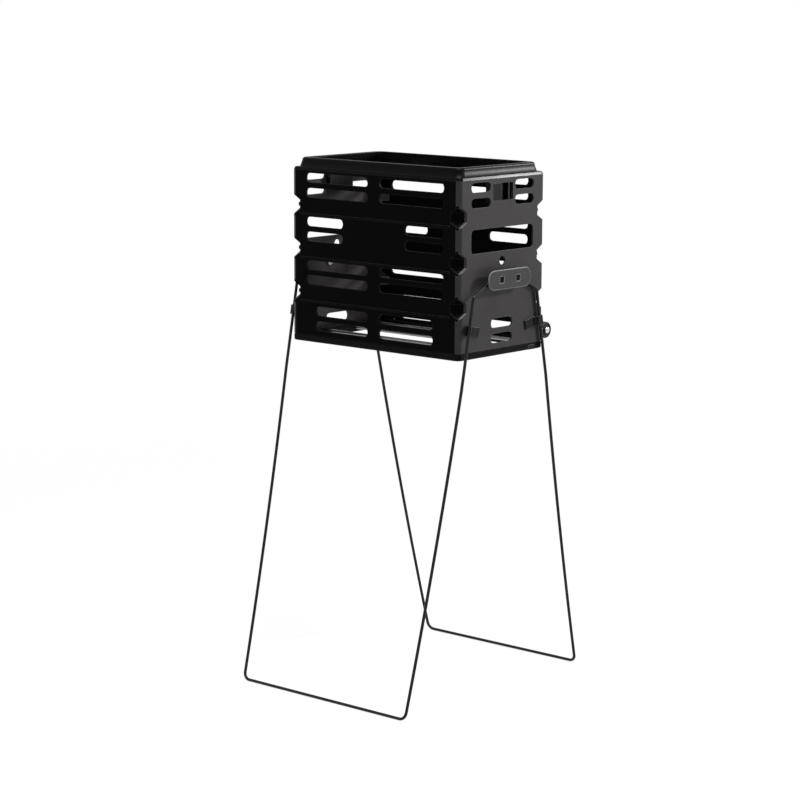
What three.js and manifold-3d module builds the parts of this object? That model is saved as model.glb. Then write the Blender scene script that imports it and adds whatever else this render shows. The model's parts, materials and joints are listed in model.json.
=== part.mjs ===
// Tennis ball hopper: a slotted moulded basket hung between two swinging wire leg frames.
// Millimetres, +Z up, X along the basket, origin on the floor under the basket's middle.
import * as THREE from 'three';
import { mergeVertices } from 'three/addons/utils/BufferGeometryUtils.js';
import Module from 'manifold-3d';

const wasm = await Module();
wasm.setup();

// Clearances
const GAP = 0.3;
const RUN_GAP = 0.3;
const OVERRUN = 6;

// Basket: four bars, spaced for a ball to be squeezed up between two, set its width
const BASKET_LENGTH = 361;
const BASKET_BOTTOM = 560;
const BAR_COUNT = 4;
const BAR_PITCH = 64;
const BAR_EDGE = 11;
const WALL = 3;
const CORNER_RADIUS = 8;

// Tiers of slots, counted down from the top of the walls
const TIER_PITCH = 71.7;
const TIER_COUNT = 4;
const LAST_TIER_HEIGHT = 67.9;
const SLOT_HEIGHT = 15.5;
const SLOT_CORNER = 6;
const UPPER_SLOT_DROP = 12;
const LOWER_SLOT_DROP = 36.5;
const LAST_TIER_DROP = 3.5;
const SLOT_START = 12.5;
const SLOT_MARGIN = 32.5;
const LAST_SLOT_MARGIN = 54;
const BLANK_TIER = 1;
const BLANK_START = 67;
const TIER_RIB_HEIGHT = 3;
const TIER_RIB_PROUD = 1;

// Corner notches with their screws
const NOTCH_RISE = 14.4;
const NOTCH_DEPTH = 10;
const NOTCH_MOUTH_HALF = 16;
const NOTCH_FLOOR_HALF = 7.6;
const BOSS_DEPTH = 5;
const BOSS_HALF = 7;
const SCREW_RADIUS = 1.6;
const SCREW_HEAD_RADIUS = 3.4;
const SCREW_HEAD_HEIGHT = 2.2;
const SCREW_CROWN_SHARE = 0.65;

// Short walls
const WINDOW_MARGIN = 29;
const WINDOW_HEIGHT = 38;
const WINDOW_DROP = 25.3;
const END_SLOT_START = 30.5;
const END_SLOT_MARGIN = 28.5;
const FOOT_SLOT_HALF = 27;
const VENT_RADIUS = 7.5;
const VENT_MARGIN = 5;

// Handle clip under the rim
const CLIP_TRAY_WIDTH = 50;
const CLIP_TRAY_HEIGHT = 28;
const CLIP_TRAY_DROP = 21.5;
const CLIP_TRAY_DEPTH = 8;
const CLIP_TRAY_WALL = 2.2;
const CLIP_TONGUE_WIDTH = 21;
const CLIP_RIB_WIDTH = 3;
const CLIP_RIB_PLACE = 15;

// Top rim
const RIM_HEIGHT = 20;
const RIM_LIP = 4.5;
const RIM_LIP_EDGE = 2.2;
const RIM_LIP_LEAN_SHARE = 0.35;
const RIM_LEDGE = 5.5;
const RIM_SIDE = 8;
const RIM_SHOULDER = 5;
const RIM_INSET = 11;
const RIM_CROWN = 4.5;
const RIM_EDGE = 1.2;
const RIM_THICK = 3;
const RIM_SKIRT = 3.6;
const RIM_CORNER_RADIUS = 14;

// Bottom frame and its rolling bars
const BAND_HEIGHT = 11;
const BAND_CHAMFER = 1.2;
const FRAME_LIP_HEIGHT = 15;
const FRAME_LIP = 3;
const RAIL_WIDTH = 8;
const RAIL_SOCKET = 6;
const BAR_RADIUS = 3;
const BAR_RISE = 8;
const CATCH_INSET = 21;
const CATCH_WIDTH = 17;
const CATCH_HEIGHT = 7.5;
const CATCH_DEPTH = 2;

// Leg frames
const WIRE_RADIUS = 2.5;
const WIRE_SIDES = 10;
const SPACER = 0.7;
const PIVOT_Y = 20.4;
const PIVOT_TIER = 2;
const PIVOT_DROP = 16.1;
const POST_RADIUS = 5;
const SPACER_RADIUS = 7;
const EYE_WRAP_SHARE = 0.75;
const KINK_INSET = 23;
const KINK_DROP = 24.5;
const KINK_RADIUS = 11;
const FOOT_REACH = 121;
const FOOT_RADIUS = 12;
const FRONT_TAPER = 12.6;
const REAR_TAPER = 19.3;
const ARM_BOW = 6.5;
const TAPER_DROP = 170;
const LEG_LEVEL = { rear: 0, front: 1 };

// Pivot plates and nuts
const PLATE_LENGTH = 108;
const PLATE_HEIGHT = 32;
const PLATE_THICK = 2.4;
const PLATE_BEVEL = 0.8;
const PLATE_HOLE = 9.4;
const PLATE_HOLE_RECESS = 1.2;
const SPIGOT_RADIUS = 3;
const NUT_RADIUS = 6;
const NUT_HEIGHT = 4.2;
const NUT_ROOF = 1.2;

// Leg clips
const LEG_CLIP_DROP = 75.5;
const LEG_CLIP_WIDTH = 16;
const LEG_CLIP_REACH = 32;
const LEG_CLIP_BLOCK = 5;
const LEG_CLIP_THICK = 2.5;
const LEG_CLIP_OVERHANG = 2;
const PEG_RADIUS = 2.5;
const PEG_TAIL = 1.5;
const PEG_PLACE_SHARE = 0.6;

// Wheels
const WHEEL_RADIUS = 13.5;
const WHEEL_WIDTH = 13;
const WHEEL_SHOULDER = 2;
const WHEEL_DISH = 1.5;
const WHEEL_HUB_RADIUS = 6.5;
const WHEEL_INSET = 9;
const WHEEL_STANDOFF = 20.5;
const WHEEL_RISE = 25.5;
const BOLT_RADIUS = 2.5;
const BOLT_HEAD_RADIUS = 5.3;
const BOLT_HEAD_HEIGHT = 4;
const BOLT_RIM_SHARE = 1 / 3;
const BOLT_TAIL = 5;
const CHEEK_THICK = 5;
const CHEEK_NOSE = 7;
const BRACKET_PLATE_WIDTH = 27;
const BRACKET_PLATE_HEIGHT = 29;
const BRACKET_PLATE_THICK = 3;
const BRACKET_SCREW_PITCH = 17;
const BRACKET_SCREW_INSET = 9;
const WHEEL_NUT_RADIUS = 4.6;
const WHEEL_NUT_HEIGHT = 3.6;
const WHEEL_NUT_SIDES = 6;

// Facet counts
const CORNER_STEPS = 4;
const SLOT_STEPS = 2;
const SHOULDER_STEPS = 2;
const ROUND_STEPS = 16;
const SMALL_ROUND_STEPS = 10;
const HOLE_STEPS = 8;
const EYE_STEPS = 12;
const BEND_STEPS = 5;
const UPPER_ARM_STEPS = 2;
const LOWER_ARM_STEPS = 6;

// Places worked out from the sizes above
const basketWidth = (BAR_COUNT - 1) * BAR_PITCH + 2 * BAR_EDGE;
const halfLength = BASKET_LENGTH / 2;
const halfWidth = basketWidth / 2;
const wallTop = BASKET_BOTTOM + LAST_TIER_HEIGHT + (TIER_COUNT - 1) * TIER_PITCH;
const wallBottom = BASKET_BOTTOM + BAND_HEIGHT + GAP;
const lining = WALL + GAP;
const partingX = halfLength - CORNER_RADIUS;
const cornerSkin = CORNER_RADIUS * (Math.SQRT2 - 1);
const notchFloor = cornerSkin + NOTCH_DEPTH;
const notchFlank = (NOTCH_MOUTH_HALF - NOTCH_FLOOR_HALF) / NOTCH_DEPTH;
const wirePitch = 2 * WIRE_RADIUS + 2 * RUN_GAP + SPACER;
const wireLevel = (level) => halfLength + GAP + SPACER + RUN_GAP + WIRE_RADIUS + level * wirePitch;
const plateInner = wireLevel(LEG_LEVEL.front) + WIRE_RADIUS + RUN_GAP + SPACER + GAP;
const eyeRadius = POST_RADIUS + RUN_GAP + WIRE_RADIUS;
const footZ = WIRE_RADIUS * Math.cos(Math.PI / WIRE_SIDES);
const tierTop = (tier) => wallTop - tier * TIER_PITCH;
const lowerTiers = Array.from({ length: TIER_COUNT - 1 }, (_, i) => i + 1);
const notchHeights = lowerTiers.map((tier) => tierTop(tier) + NOTCH_RISE);
const pivotZ = tierTop(PIVOT_TIER) - PIVOT_DROP;
const kinkY = halfWidth - KINK_INSET;
const kinkZ = pivotZ - KINK_DROP;
const footY = halfWidth + FOOT_REACH;
const legClipZ = pivotZ - LEG_CLIP_DROP;
const wheelOuter = halfLength - WHEEL_INSET;
const wheelY = halfWidth + WHEEL_STANDOFF;
const wheelZ = BASKET_BOTTOM + WHEEL_RISE;
const barZ = BASKET_BOTTOM + BAR_RISE;
const signs = [-1, 1];

// Finishes
function plastic(color) {
  return new THREE.MeshStandardMaterial({ color, roughness: 0.5, metalness: 0 });
}

function steel(color, roughness) {
  return new THREE.MeshStandardMaterial({ color, roughness, metalness: 1 });
}

function coatedWire() {
  return new THREE.MeshStandardMaterial({ color: 0x0d0d0e, roughness: 0.35, metalness: 0.2 });
}

// Solids: a closed geometry becomes a manifold solid for cutting, and comes back as a geometry
function solidOf(geometry) {
  const bare = geometry.clone();
  bare.deleteAttribute('normal');
  bare.deleteAttribute('uv');
  const merged = mergeVertices(bare);
  const corners = merged.index.array;
  const kept = [];
  for (let i = 0; i < corners.length; i += 3) {
    const [a, b, c] = corners.slice(i, i + 3);
    if (a !== b && b !== c && c !== a) kept.push(a, b, c);
  }
  return new wasm.Manifold(new wasm.Mesh({
    numProp: 3,
    vertProperties: new Float32Array(merged.attributes.position.array),
    triVerts: new Uint32Array(kept),
  }));
}

function geometryOf(solid) {
  const mesh = solid.getMesh();
  const geometry = new THREE.BufferGeometry();
  geometry.setAttribute('position', new THREE.BufferAttribute(mesh.vertProperties, 3));
  geometry.setIndex(new THREE.BufferAttribute(mesh.triVerts, 1));
  geometry.computeVertexNormals();
  return geometry;
}

function joined(solids) {
  return solids.reduce((whole, piece) => whole.add(piece));
}

// Outlines
function arc(x, y, radius, from, to, steps) {
  return Array.from({ length: steps + 1 }, (_, i) => {
    const angle = from + ((to - from) * i) / steps;
    return new THREE.Vector2(x + radius * Math.cos(angle), y + radius * Math.sin(angle));
  });
}

function roundedRect(x, y, width, height, radius, steps) {
  const across = width / 2 - radius;
  const up = height / 2 - radius;
  return [[1, 1], [-1, 1], [-1, -1], [1, -1]].flatMap(([sx, sy], i) =>
    arc(x + sx * across, y + sy * up, radius, (i * Math.PI) / 2, ((i + 1) * Math.PI) / 2, steps));
}

function circle(x, y, radius, steps) {
  return arc(x, y, radius, 0, 2 * Math.PI, steps).slice(1);
}

// A slot between two places across a wall, at a height
function slot(from, to, middle, height) {
  return roundedRect((from + to) / 2, middle, to - from, height, SLOT_CORNER, SLOT_STEPS);
}

// Prisms of one or more outlines, standing on Z, running along Y or running along X
function alongZ(outlines, from, to) {
  const shapes = outlines.map((points) => new THREE.Shape(points));
  const geometry = new THREE.ExtrudeGeometry(shapes, { depth: to - from, bevelEnabled: false });
  return geometry.translate(0, 0, from);
}

function alongY(outlines, from, to) {
  return alongZ(outlines, from, to).rotateX(Math.PI / 2).translate(0, from + to, 0);
}

function alongX(outlines, from, to) {
  return alongZ(outlines, from, to).rotateX(Math.PI / 2).rotateZ(Math.PI / 2);
}

function block(x0, x1, y0, y1, z0, z1) {
  const box = new THREE.BoxGeometry(x1 - x0, y1 - y0, z1 - z0);
  return solidOf(box.translate((x0 + x1) / 2, (y0 + y1) / 2, (z0 + z1) / 2));
}

// A piece turned about +X, from points of [radius, place along X]
function turned(profile, steps) {
  const points = profile.map(([radius, place]) => new THREE.Vector2(radius, place));
  return new THREE.LatheGeometry(points, steps).rotateZ(-Math.PI / 2);
}

// A closed ring that follows the basket's rounded outline: each point of its section is
// [inset from the outline, height, corner radius]
function ringLoft(section) {
  const rings = section.map(([inset, height, radius]) =>
    roundedRect(0, 0, BASKET_LENGTH - 2 * inset, basketWidth - 2 * inset, radius, CORNER_STEPS)
      .map((point) => new THREE.Vector3(point.x, point.y, height)));
  const around = rings[0].length;
  const geometry = new THREE.BufferGeometry().setFromPoints(rings.flat());
  const index = [];
  rings.forEach((_, i) => {
    const next = ((i + 1) % rings.length) * around;
    for (let j = 0; j < around; j += 1) {
      const k = (j + 1) % around;
      index.push(i * around + j, next + k, next + j, i * around + j, i * around + k, next + k);
    }
  });
  return geometry.setIndex(index);
}

// The tool for one corner notch: a trapezoid carried across the corner's diagonal,
// grown outwards by a wall or a clearance
function notchTool(sx, sy, height, grow) {
  const half = (depth) => NOTCH_FLOOR_HALF + (notchFloor - depth) * notchFlank
    + grow * Math.hypot(1, notchFlank);
  const mouth = half(-OVERRUN);
  const floor = half(notchFloor + grow);
  const outline = [
    new THREE.Vector2(-OVERRUN, -mouth),
    new THREE.Vector2(notchFloor + grow, -floor),
    new THREE.Vector2(notchFloor + grow, floor),
    new THREE.Vector2(-OVERRUN, mouth),
  ];
  const reach = notchFloor + grow + OVERRUN;
  const tool = alongY([outline], -reach, reach);
  return solidOf(tool.rotateZ(Math.atan2(-sy, -sx)).translate(sx * halfLength, sy * halfWidth, height));
}

function notchTools(corners, grow) {
  return joined(corners.flatMap(([sx, sy]) =>
    notchHeights.map((height) => notchTool(sx, sy, height, grow))));
}

// Screw holes along the corner diagonals
function cornerHoles(corners) {
  const from = notchFloor - OVERRUN;
  const to = notchFloor + lining + BOSS_DEPTH + OVERRUN;
  const hole = alongX([circle(0, 0, SCREW_RADIUS + GAP, HOLE_STEPS)], from, to);
  return joined(corners.flatMap(([sx, sy]) => notchHeights.map((height) => solidOf(
    hole.clone().rotateZ(Math.atan2(-sy, -sx)).translate(sx * halfLength, sy * halfWidth, height)))));
}

const allCorners = signs.flatMap((sx) => signs.map((sy) => [sx, sy]));
const frontCorners = signs.map((sx) => [sx, -1]);
const rightCorners = signs.map((sy) => [1, sy]);

// The moulded shell before it is parted into four walls: a rounded box with an even wall,
// which steps inwards behind every corner notch
function basketShell() {
  const prism = (inset, bottom, top) => solidOf(alongZ([roundedRect(0, 0, BASKET_LENGTH - 2 * inset,
    basketWidth - 2 * inset, CORNER_RADIUS - inset, CORNER_STEPS)], bottom, top));
  const outside = prism(0, wallBottom, wallTop).subtract(notchTools(allCorners, 0));
  const inside = prism(WALL, wallBottom - OVERRUN, wallTop + OVERRUN)
    .subtract(notchTools(allCorners, WALL));
  return outside.subtract(inside);
}

const shell = basketShell();

// Long wall: its ends carry the screw tabs that fill the notches
function longWallSlots() {
  const slots = [];
  for (let tier = 0; tier < TIER_COUNT; tier += 1) {
    const last = tier === TIER_COUNT - 1;
    const start = tier === BLANK_TIER ? BLANK_START : SLOT_START;
    const end = halfLength - (last ? LAST_SLOT_MARGIN : SLOT_MARGIN);
    for (const drop of [UPPER_SLOT_DROP, LOWER_SLOT_DROP]) {
      const middle = tierTop(tier) - drop - (last ? LAST_TIER_DROP : 0);
      slots.push(slot(-end, -start, middle, SLOT_HEIGHT), slot(start, end, middle, SLOT_HEIGHT));
    }
  }
  return slots;
}

function tierRibs() {
  const end = halfLength - notchFloor * Math.SQRT2 - GAP;
  return lowerTiers.map((tier) => block(-end, end, -halfWidth - TIER_RIB_PROUD, -halfWidth + WALL / 2,
    tierTop(tier) - TIER_RIB_HEIGHT / 2, tierTop(tier) + TIER_RIB_HEIGHT / 2));
}

function longWall() {
  const end = partingX - GAP / 2;
  const field = block(-end, end, -halfWidth - OVERRUN, 0, wallBottom - OVERRUN, wallTop + OVERRUN);
  const tabEnd = halfLength - lining;
  const tabField = block(-tabEnd, tabEnd, -halfWidth - OVERRUN, 0, wallBottom, wallTop);
  const tabs = notchTools(frontCorners, WALL).intersect(tabField);
  const slots = solidOf(alongY(longWallSlots(), -halfWidth - OVERRUN, -halfWidth + WALL + OVERRUN));
  return shell.intersect(field.add(tabs)).add(joined(tierRibs())).subtract(slots)
    .subtract(cornerHoles(frontCorners));
}

// The rear wall also has holes for the screws of the two wheel brackets
function bracketScrewPlaces() {
  const x = wheelOuter - WHEEL_WIDTH - RUN_GAP - BRACKET_PLATE_WIDTH + BRACKET_SCREW_INSET;
  return signs.map((up) => [x, wheelZ + (up * BRACKET_SCREW_PITCH) / 2]);
}

function rearWall() {
  const holes = bracketScrewPlaces().flatMap(([x, z]) => signs.map((side) =>
    circle(side * x, z, SCREW_RADIUS + GAP, HOLE_STEPS)));
  const tool = solidOf(alongY(holes, halfWidth - WALL - OVERRUN, halfWidth + OVERRUN));
  return solidOf(geometryOf(longWall()).rotateZ(Math.PI)).subtract(tool);
}

// Short wall: corner strips, window, slots, and holes for what it carries
function shortWallCuts() {
  const upper = tierTop(0) - UPPER_SLOT_DROP;
  const lower = tierTop(0) - LOWER_SLOT_DROP;
  const foot = [UPPER_SLOT_DROP, LOWER_SLOT_DROP].map((drop) =>
    tierTop(TIER_COUNT - 1) - drop - LAST_TIER_DROP);
  const windowHalf = halfWidth - WINDOW_MARGIN;
  const ventZ = pivotZ + PLATE_HEIGHT / 2 + VENT_MARGIN + VENT_RADIUS;
  const cuts = [
    slot(-windowHalf, windowHalf, tierTop(BLANK_TIER) - WINDOW_DROP, WINDOW_HEIGHT),
    circle(0, ventZ, VENT_RADIUS, ROUND_STEPS),
    roundedRect(0, wallTop - CLIP_TRAY_DROP, CLIP_TRAY_WIDTH, CLIP_TRAY_HEIGHT, CLIP_TRAY_WALL, SLOT_STEPS),
  ];
  for (const side of signs) {
    const ends = [side * END_SLOT_START, side * (halfWidth - END_SLOT_MARGIN)].sort((a, b) => a - b);
    cuts.push(slot(...ends, upper, SLOT_HEIGHT), slot(...ends, lower, SLOT_HEIGHT));
    cuts.push(circle(side * PIVOT_Y, pivotZ, SPIGOT_RADIUS + GAP, SMALL_ROUND_STEPS));
  }
  foot.forEach((middle) => cuts.push(slot(-FOOT_SLOT_HALF, FOOT_SLOT_HALF, middle, SLOT_HEIGHT)));
  return cuts;
}

function pegHoles() {
  return joined(signs.map((side) => {
    const place = legClipPlace(side);
    const hole = circle(0, 0, PEG_RADIUS + GAP, SMALL_ROUND_STEPS);
    return solidOf(alongX([hole], halfLength - WALL - OVERRUN, halfLength + OVERRUN)
      .translate(0, place.peg.y, place.peg.z));
  }));
}

function cornerBosses() {
  const from = notchFloor + lining;
  const to = from + BOSS_DEPTH;
  const boss = alongZ([[
    new THREE.Vector2(from, -to),
    new THREE.Vector2(to, -to),
    new THREE.Vector2(to, to),
    new THREE.Vector2(from, to),
  ]], -BOSS_HALF, BOSS_HALF);
  const field = block(0, halfLength - WALL / 2, -halfWidth + lining, halfWidth - lining,
    wallBottom, wallTop);
  return joined(rightCorners.flatMap(([sx, sy]) => notchHeights.map((height) => solidOf(
    boss.clone().rotateZ(Math.atan2(-sy, -sx)).translate(sx * halfLength, sy * halfWidth, height)))))
    .intersect(field);
}

function shortWall() {
  const strip = block(partingX + GAP / 2, halfLength + OVERRUN, -halfWidth - OVERRUN,
    halfWidth + OVERRUN, wallBottom - OVERRUN, wallTop + OVERRUN);
  const tabField = block(0, halfLength - WALL, -halfWidth - OVERRUN, halfWidth + OVERRUN,
    wallBottom, wallTop);
  const tabSpace = notchTools(rightCorners, lining).intersect(tabField);
  const cuts = solidOf(alongX(shortWallCuts(), halfLength - WALL - OVERRUN, halfLength + OVERRUN));
  return shell.intersect(strip).subtract(tabSpace).subtract(cuts).subtract(pegHoles())
    .add(cornerBosses()).subtract(cornerHoles(rightCorners));
}

// Screw: a domed head with its shank, along +X from the seat of its head
function screwGeometry(shank) {
  return turned([
    [0, -SCREW_HEAD_HEIGHT],
    [SCREW_HEAD_RADIUS * SCREW_CROWN_SHARE, -SCREW_HEAD_HEIGHT],
    [SCREW_HEAD_RADIUS, 0],
    [SCREW_RADIUS, 0],
    [SCREW_RADIUS, shank],
    [0, shank],
  ], SMALL_ROUND_STEPS);
}

// Top rim: a flange over the walls, a steep side with a rounded shoulder, a flat crown,
// and a skirt inside the walls
function topRim() {
  const seat = wallTop + GAP;
  const lipTop = seat + RIM_LIP;
  const top = wallTop + RIM_HEIGHT;
  const inner = RIM_INSET + RIM_CROWN;
  const shoulder = Array.from({ length: SHOULDER_STEPS + 1 }, (_, i) => {
    const angle = (i / SHOULDER_STEPS) * (Math.PI / 2);
    return [RIM_INSET - (RIM_INSET - RIM_SIDE) * Math.cos(angle),
      top - RIM_SHOULDER * (1 - Math.sin(angle)), RIM_CORNER_RADIUS];
  });
  return ringLoft([
    [0, seat, CORNER_RADIUS],
    [RIM_LIP_EDGE * RIM_LIP_LEAN_SHARE, lipTop - RIM_LIP_EDGE, CORNER_RADIUS],
    [RIM_LIP_EDGE, lipTop, CORNER_RADIUS],
    [RIM_LEDGE, lipTop, RIM_CORNER_RADIUS],
    ...shoulder,
    [inner, top, RIM_CORNER_RADIUS],
    [inner + RIM_EDGE, top - RIM_EDGE, RIM_CORNER_RADIUS],
    [inner + RIM_EDGE, top - RIM_EDGE - RIM_THICK, RIM_CORNER_RADIUS],
    [RIM_LEDGE + RIM_THICK, lipTop, RIM_CORNER_RADIUS],
    [lining + RIM_THICK, wallTop, CORNER_RADIUS],
    [lining + RIM_THICK, wallTop - RIM_SKIRT, CORNER_RADIUS],
    [lining, wallTop - RIM_SKIRT, CORNER_RADIUS],
    [lining, seat, CORNER_RADIUS],
  ]);
}

// Bottom frame: a band under the walls, a lip inside them, and two rails with bar sockets
const barPlaces = Array.from({ length: BAR_COUNT }, (_, i) => (i - (BAR_COUNT - 1) / 2) * BAR_PITCH);
const railOuter = halfLength - lining - FRAME_LIP;
const railInner = railOuter - RAIL_WIDTH;
const socketEnd = railInner + RAIL_SOCKET;
const catchEnd = halfWidth - CATCH_INSET;
const catchStart = catchEnd - CATCH_WIDTH;

function bottomFrame() {
  const bandTop = BASKET_BOTTOM + BAND_HEIGHT;
  const lipTop = BASKET_BOTTOM + FRAME_LIP_HEIGHT;
  const ring = solidOf(ringLoft([
    [BAND_CHAMFER, BASKET_BOTTOM, CORNER_RADIUS],
    [0, BASKET_BOTTOM + BAND_CHAMFER, CORNER_RADIUS],
    [0, bandTop - BAND_CHAMFER, CORNER_RADIUS],
    [BAND_CHAMFER, bandTop, CORNER_RADIUS],
    [lining, bandTop, CORNER_RADIUS],
    [lining, lipTop, CORNER_RADIUS],
    [lining + FRAME_LIP, lipTop, CORNER_RADIUS],
    [lining + FRAME_LIP, BASKET_BOTTOM, CORNER_RADIUS],
  ]));
  const railHalf = halfWidth - lining - FRAME_LIP / 2;
  const rails = signs.map((side) => block(
    Math.min(side * railInner, side * (railOuter + FRAME_LIP / 2)),
    Math.max(side * railInner, side * (railOuter + FRAME_LIP / 2)),
    -railHalf, railHalf, BASKET_BOTTOM, lipTop));
  const sockets = barPlaces.map((y) => circle(y, barZ, BAR_RADIUS + RUN_GAP, SMALL_ROUND_STEPS));
  const tool = solidOf(alongX(sockets, -socketEnd, socketEnd));
  return joined([ring, ...rails]).subtract(tool).subtract(catchPockets());
}

function catchPockets() {
  return joined(signs.map((side) => block(
    Math.min(side * (halfLength - CATCH_DEPTH - GAP), side * (halfLength + OVERRUN)),
    Math.max(side * (halfLength - CATCH_DEPTH - GAP), side * (halfLength + OVERRUN)),
    Math.min(side * (catchStart - GAP), side * (catchEnd + GAP)),
    Math.max(side * (catchStart - GAP), side * (catchEnd + GAP)),
    BASKET_BOTTOM - OVERRUN, BASKET_BOTTOM + CATCH_HEIGHT + GAP)));
}

function frameCatch() {
  return geometryOf(block(halfLength - CATCH_DEPTH, halfLength, catchStart, catchEnd,
    BASKET_BOTTOM, BASKET_BOTTOM + CATCH_HEIGHT));
}

function rollerBar() {
  const end = socketEnd - RUN_GAP;
  return turned([[0, -end], [BAR_RADIUS, -end], [BAR_RADIUS, end], [0, end]], ROUND_STEPS);
}

// A wire's path, sampled at its own stations so that bends get more rings than straight runs.
// Its section is level at the middle station and is carried both ways without a twist.
class WirePath extends THREE.Curve {
  constructor(stations) {
    super();
    this.stations = stations;
  }

  getPointAt(share, target = new THREE.Vector3()) {
    return target.copy(this.stations[Math.round(share * (this.stations.length - 1))]);
  }

  tangents() {
    const runs = this.stations.slice(1).map((point, i) =>
      point.clone().sub(this.stations[i]).normalize());
    return this.stations.map((_, i) => {
      const before = runs[Math.max(i - 1, 0)];
      const after = runs[Math.min(i, runs.length - 1)];
      return before.clone().add(after).normalize();
    });
  }

  computeFrenetFrames() {
    const tangents = this.tangents();
    const normals = [];
    const middle = (tangents.length - 1) / 2;
    normals[middle] = new THREE.Vector3(0, 0, 1);
    const carry = (from, to) => {
      const turn = new THREE.Quaternion().setFromUnitVectors(tangents[from], tangents[to]);
      normals[to] = normals[from].clone().applyQuaternion(turn);
    };
    for (let i = middle; i < tangents.length - 1; i += 1) carry(i, i + 1);
    for (let i = middle; i > 0; i -= 1) carry(i, i - 1);
    const binormals = tangents.map((tangent, i) => tangent.clone().cross(normals[i]));
    return { tangents, normals, binormals };
  }
}

// The points of a bend of a given radius that rounds off one corner of a path
function bend(before, corner, after, radius) {
  const back = before.clone().sub(corner).normalize();
  const ahead = after.clone().sub(corner).normalize();
  const half = back.angleTo(ahead) / 2;
  const centre = corner.clone()
    .addScaledVector(back.clone().add(ahead).normalize(), radius / Math.sin(half));
  const start = corner.clone().addScaledVector(back, radius / Math.tan(half)).sub(centre);
  const axis = back.clone().negate().cross(ahead).normalize();
  return Array.from({ length: BEND_STEPS + 1 }, (_, i) =>
    start.clone().applyAxisAngle(axis, ((Math.PI - 2 * half) * i) / BEND_STEPS).add(centre));
}

// The gently bowed arm, as the distance outwards at a height and its slope there
function armY(z) {
  const share = (kinkZ - z) / (kinkZ - footZ);
  return kinkY + (footY - kinkY) * share - 4 * ARM_BOW * share * (1 - share);
}

function armSlope(z) {
  const share = (kinkZ - z) / (kinkZ - footZ);
  return (footY - kinkY - 4 * ARM_BOW * (1 - 2 * share)) / (kinkZ - footZ);
}

// One leg frame on the +Y side: an eye round each pivot post, a kinked arm down each end of the
// basket, drawn in below it, and a foot bar that joins them
function legStations(level, taper) {
  const x = wireLevel(level);
  const taperZ = pivotZ - TAPER_DROP;
  const armX = (z) => (z > taperZ ? x : x - (taper * (taperZ - z)) / (taperZ - footZ));
  const armPoint = (z) => new THREE.Vector3(armX(z), armY(z), z);
  const kink = armPoint(kinkZ);
  const toKink = Math.atan2(kinkZ - pivotZ, kinkY - PIVOT_Y);
  const leave = toKink + Math.acos(eyeRadius / Math.hypot(kinkZ - pivotZ, kinkY - PIVOT_Y));
  const eye = arc(PIVOT_Y, pivotZ, eyeRadius, leave + EYE_WRAP_SHARE * 2 * Math.PI, leave, EYE_STEPS)
    .map((point) => new THREE.Vector3(x, point.x, point.y));
  const along = (from, to, steps) => Array.from({ length: steps }, (_, i) =>
    armPoint(THREE.MathUtils.lerp(from, to, (i + 1) / steps)));
  const upper = along(kinkZ, taperZ, UPPER_ARM_STEPS);
  const lower = along(taperZ, footZ, LOWER_ARM_STEPS);
  const foot = lower.pop();
  const middle = new THREE.Vector3(0, foot.y, foot.z);
  const half = [
    ...eye,
    ...bend(eye.at(-1), kink, upper[0], KINK_RADIUS),
    ...upper,
    ...lower,
    ...bend(lower.at(-1), foot, middle, FOOT_RADIUS),
  ];
  const mirrored = half.toReversed().map((point) => new THREE.Vector3(-point.x, point.y, point.z));
  return [...half, middle, ...mirrored];
}

function legFrame(level, taper) {
  const stations = legStations(level, taper);
  const first = Math.PI / WIRE_SIDES;
  const section = new THREE.Shape(arc(0, 0, WIRE_RADIUS, first, first + 2 * Math.PI, WIRE_SIDES).slice(1));
  return new THREE.ExtrudeGeometry(section, {
    steps: stations.length - 1,
    extrudePath: new WirePath(stations),
    bevelEnabled: false,
  });
}

// Pivot plate: a bevelled stadium with a square hole over each post
function pivotPlate() {
  const height = PLATE_HEIGHT - 2 * PLATE_BEVEL;
  const length = PLATE_LENGTH - 2 * PLATE_BEVEL;
  const outline = new THREE.Shape(roundedRect(0, 0, length, height, height / 2 - PLATE_BEVEL, BEND_STEPS));
  const body = new THREE.ExtrudeGeometry(outline, {
    depth: PLATE_THICK - 2 * PLATE_BEVEL,
    bevelSize: PLATE_BEVEL,
    bevelThickness: PLATE_BEVEL,
    bevelSegments: 1,
  }).rotateX(Math.PI / 2).rotateZ(Math.PI / 2).translate(plateInner + PLATE_BEVEL, 0, pivotZ);
  const holes = signs.map((side) => squareAt(side * PIVOT_Y, pivotZ, PLATE_HOLE + 2 * GAP));
  return geometryOf(solidOf(body).subtract(solidOf(alongX(holes, halfLength, plateInner + OVERRUN))));
}

function squareAt(y, z, side) {
  return [[1, 1], [-1, 1], [-1, -1], [1, -1]].map(([sy, sz]) =>
    new THREE.Vector2(y + (sy * side) / 2, z + (sz * side) / 2));
}

// Pivot post: spigot through the wall, collars each side of the wire's eye, and a square end
function pivotPost(level) {
  const wire = wireLevel(level);
  const base = halfLength + GAP;
  const collarIn = wire - WIRE_RADIUS - RUN_GAP;
  const collarOut = wire + WIRE_RADIUS + RUN_GAP;
  const end = plateInner - GAP;
  const spigotEnd = halfLength - WALL - GAP - NUT_HEIGHT + NUT_ROOF + GAP;
  const body = turned([
    [0, spigotEnd],
    [SPIGOT_RADIUS, spigotEnd],
    [SPIGOT_RADIUS, base],
    [SPACER_RADIUS, base],
    [SPACER_RADIUS, collarIn],
    [POST_RADIUS, collarIn],
    [POST_RADIUS, collarOut],
    [SPACER_RADIUS, collarOut],
    [SPACER_RADIUS, end],
    [0, end],
  ], SMALL_ROUND_STEPS);
  const tip = plateInner + PLATE_THICK - PLATE_HOLE_RECESS;
  const square = alongX([squareAt(0, 0, PLATE_HOLE)], end - SPACER / 2, tip);
  return geometryOf(solidOf(body).add(solidOf(square)));
}

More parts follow.
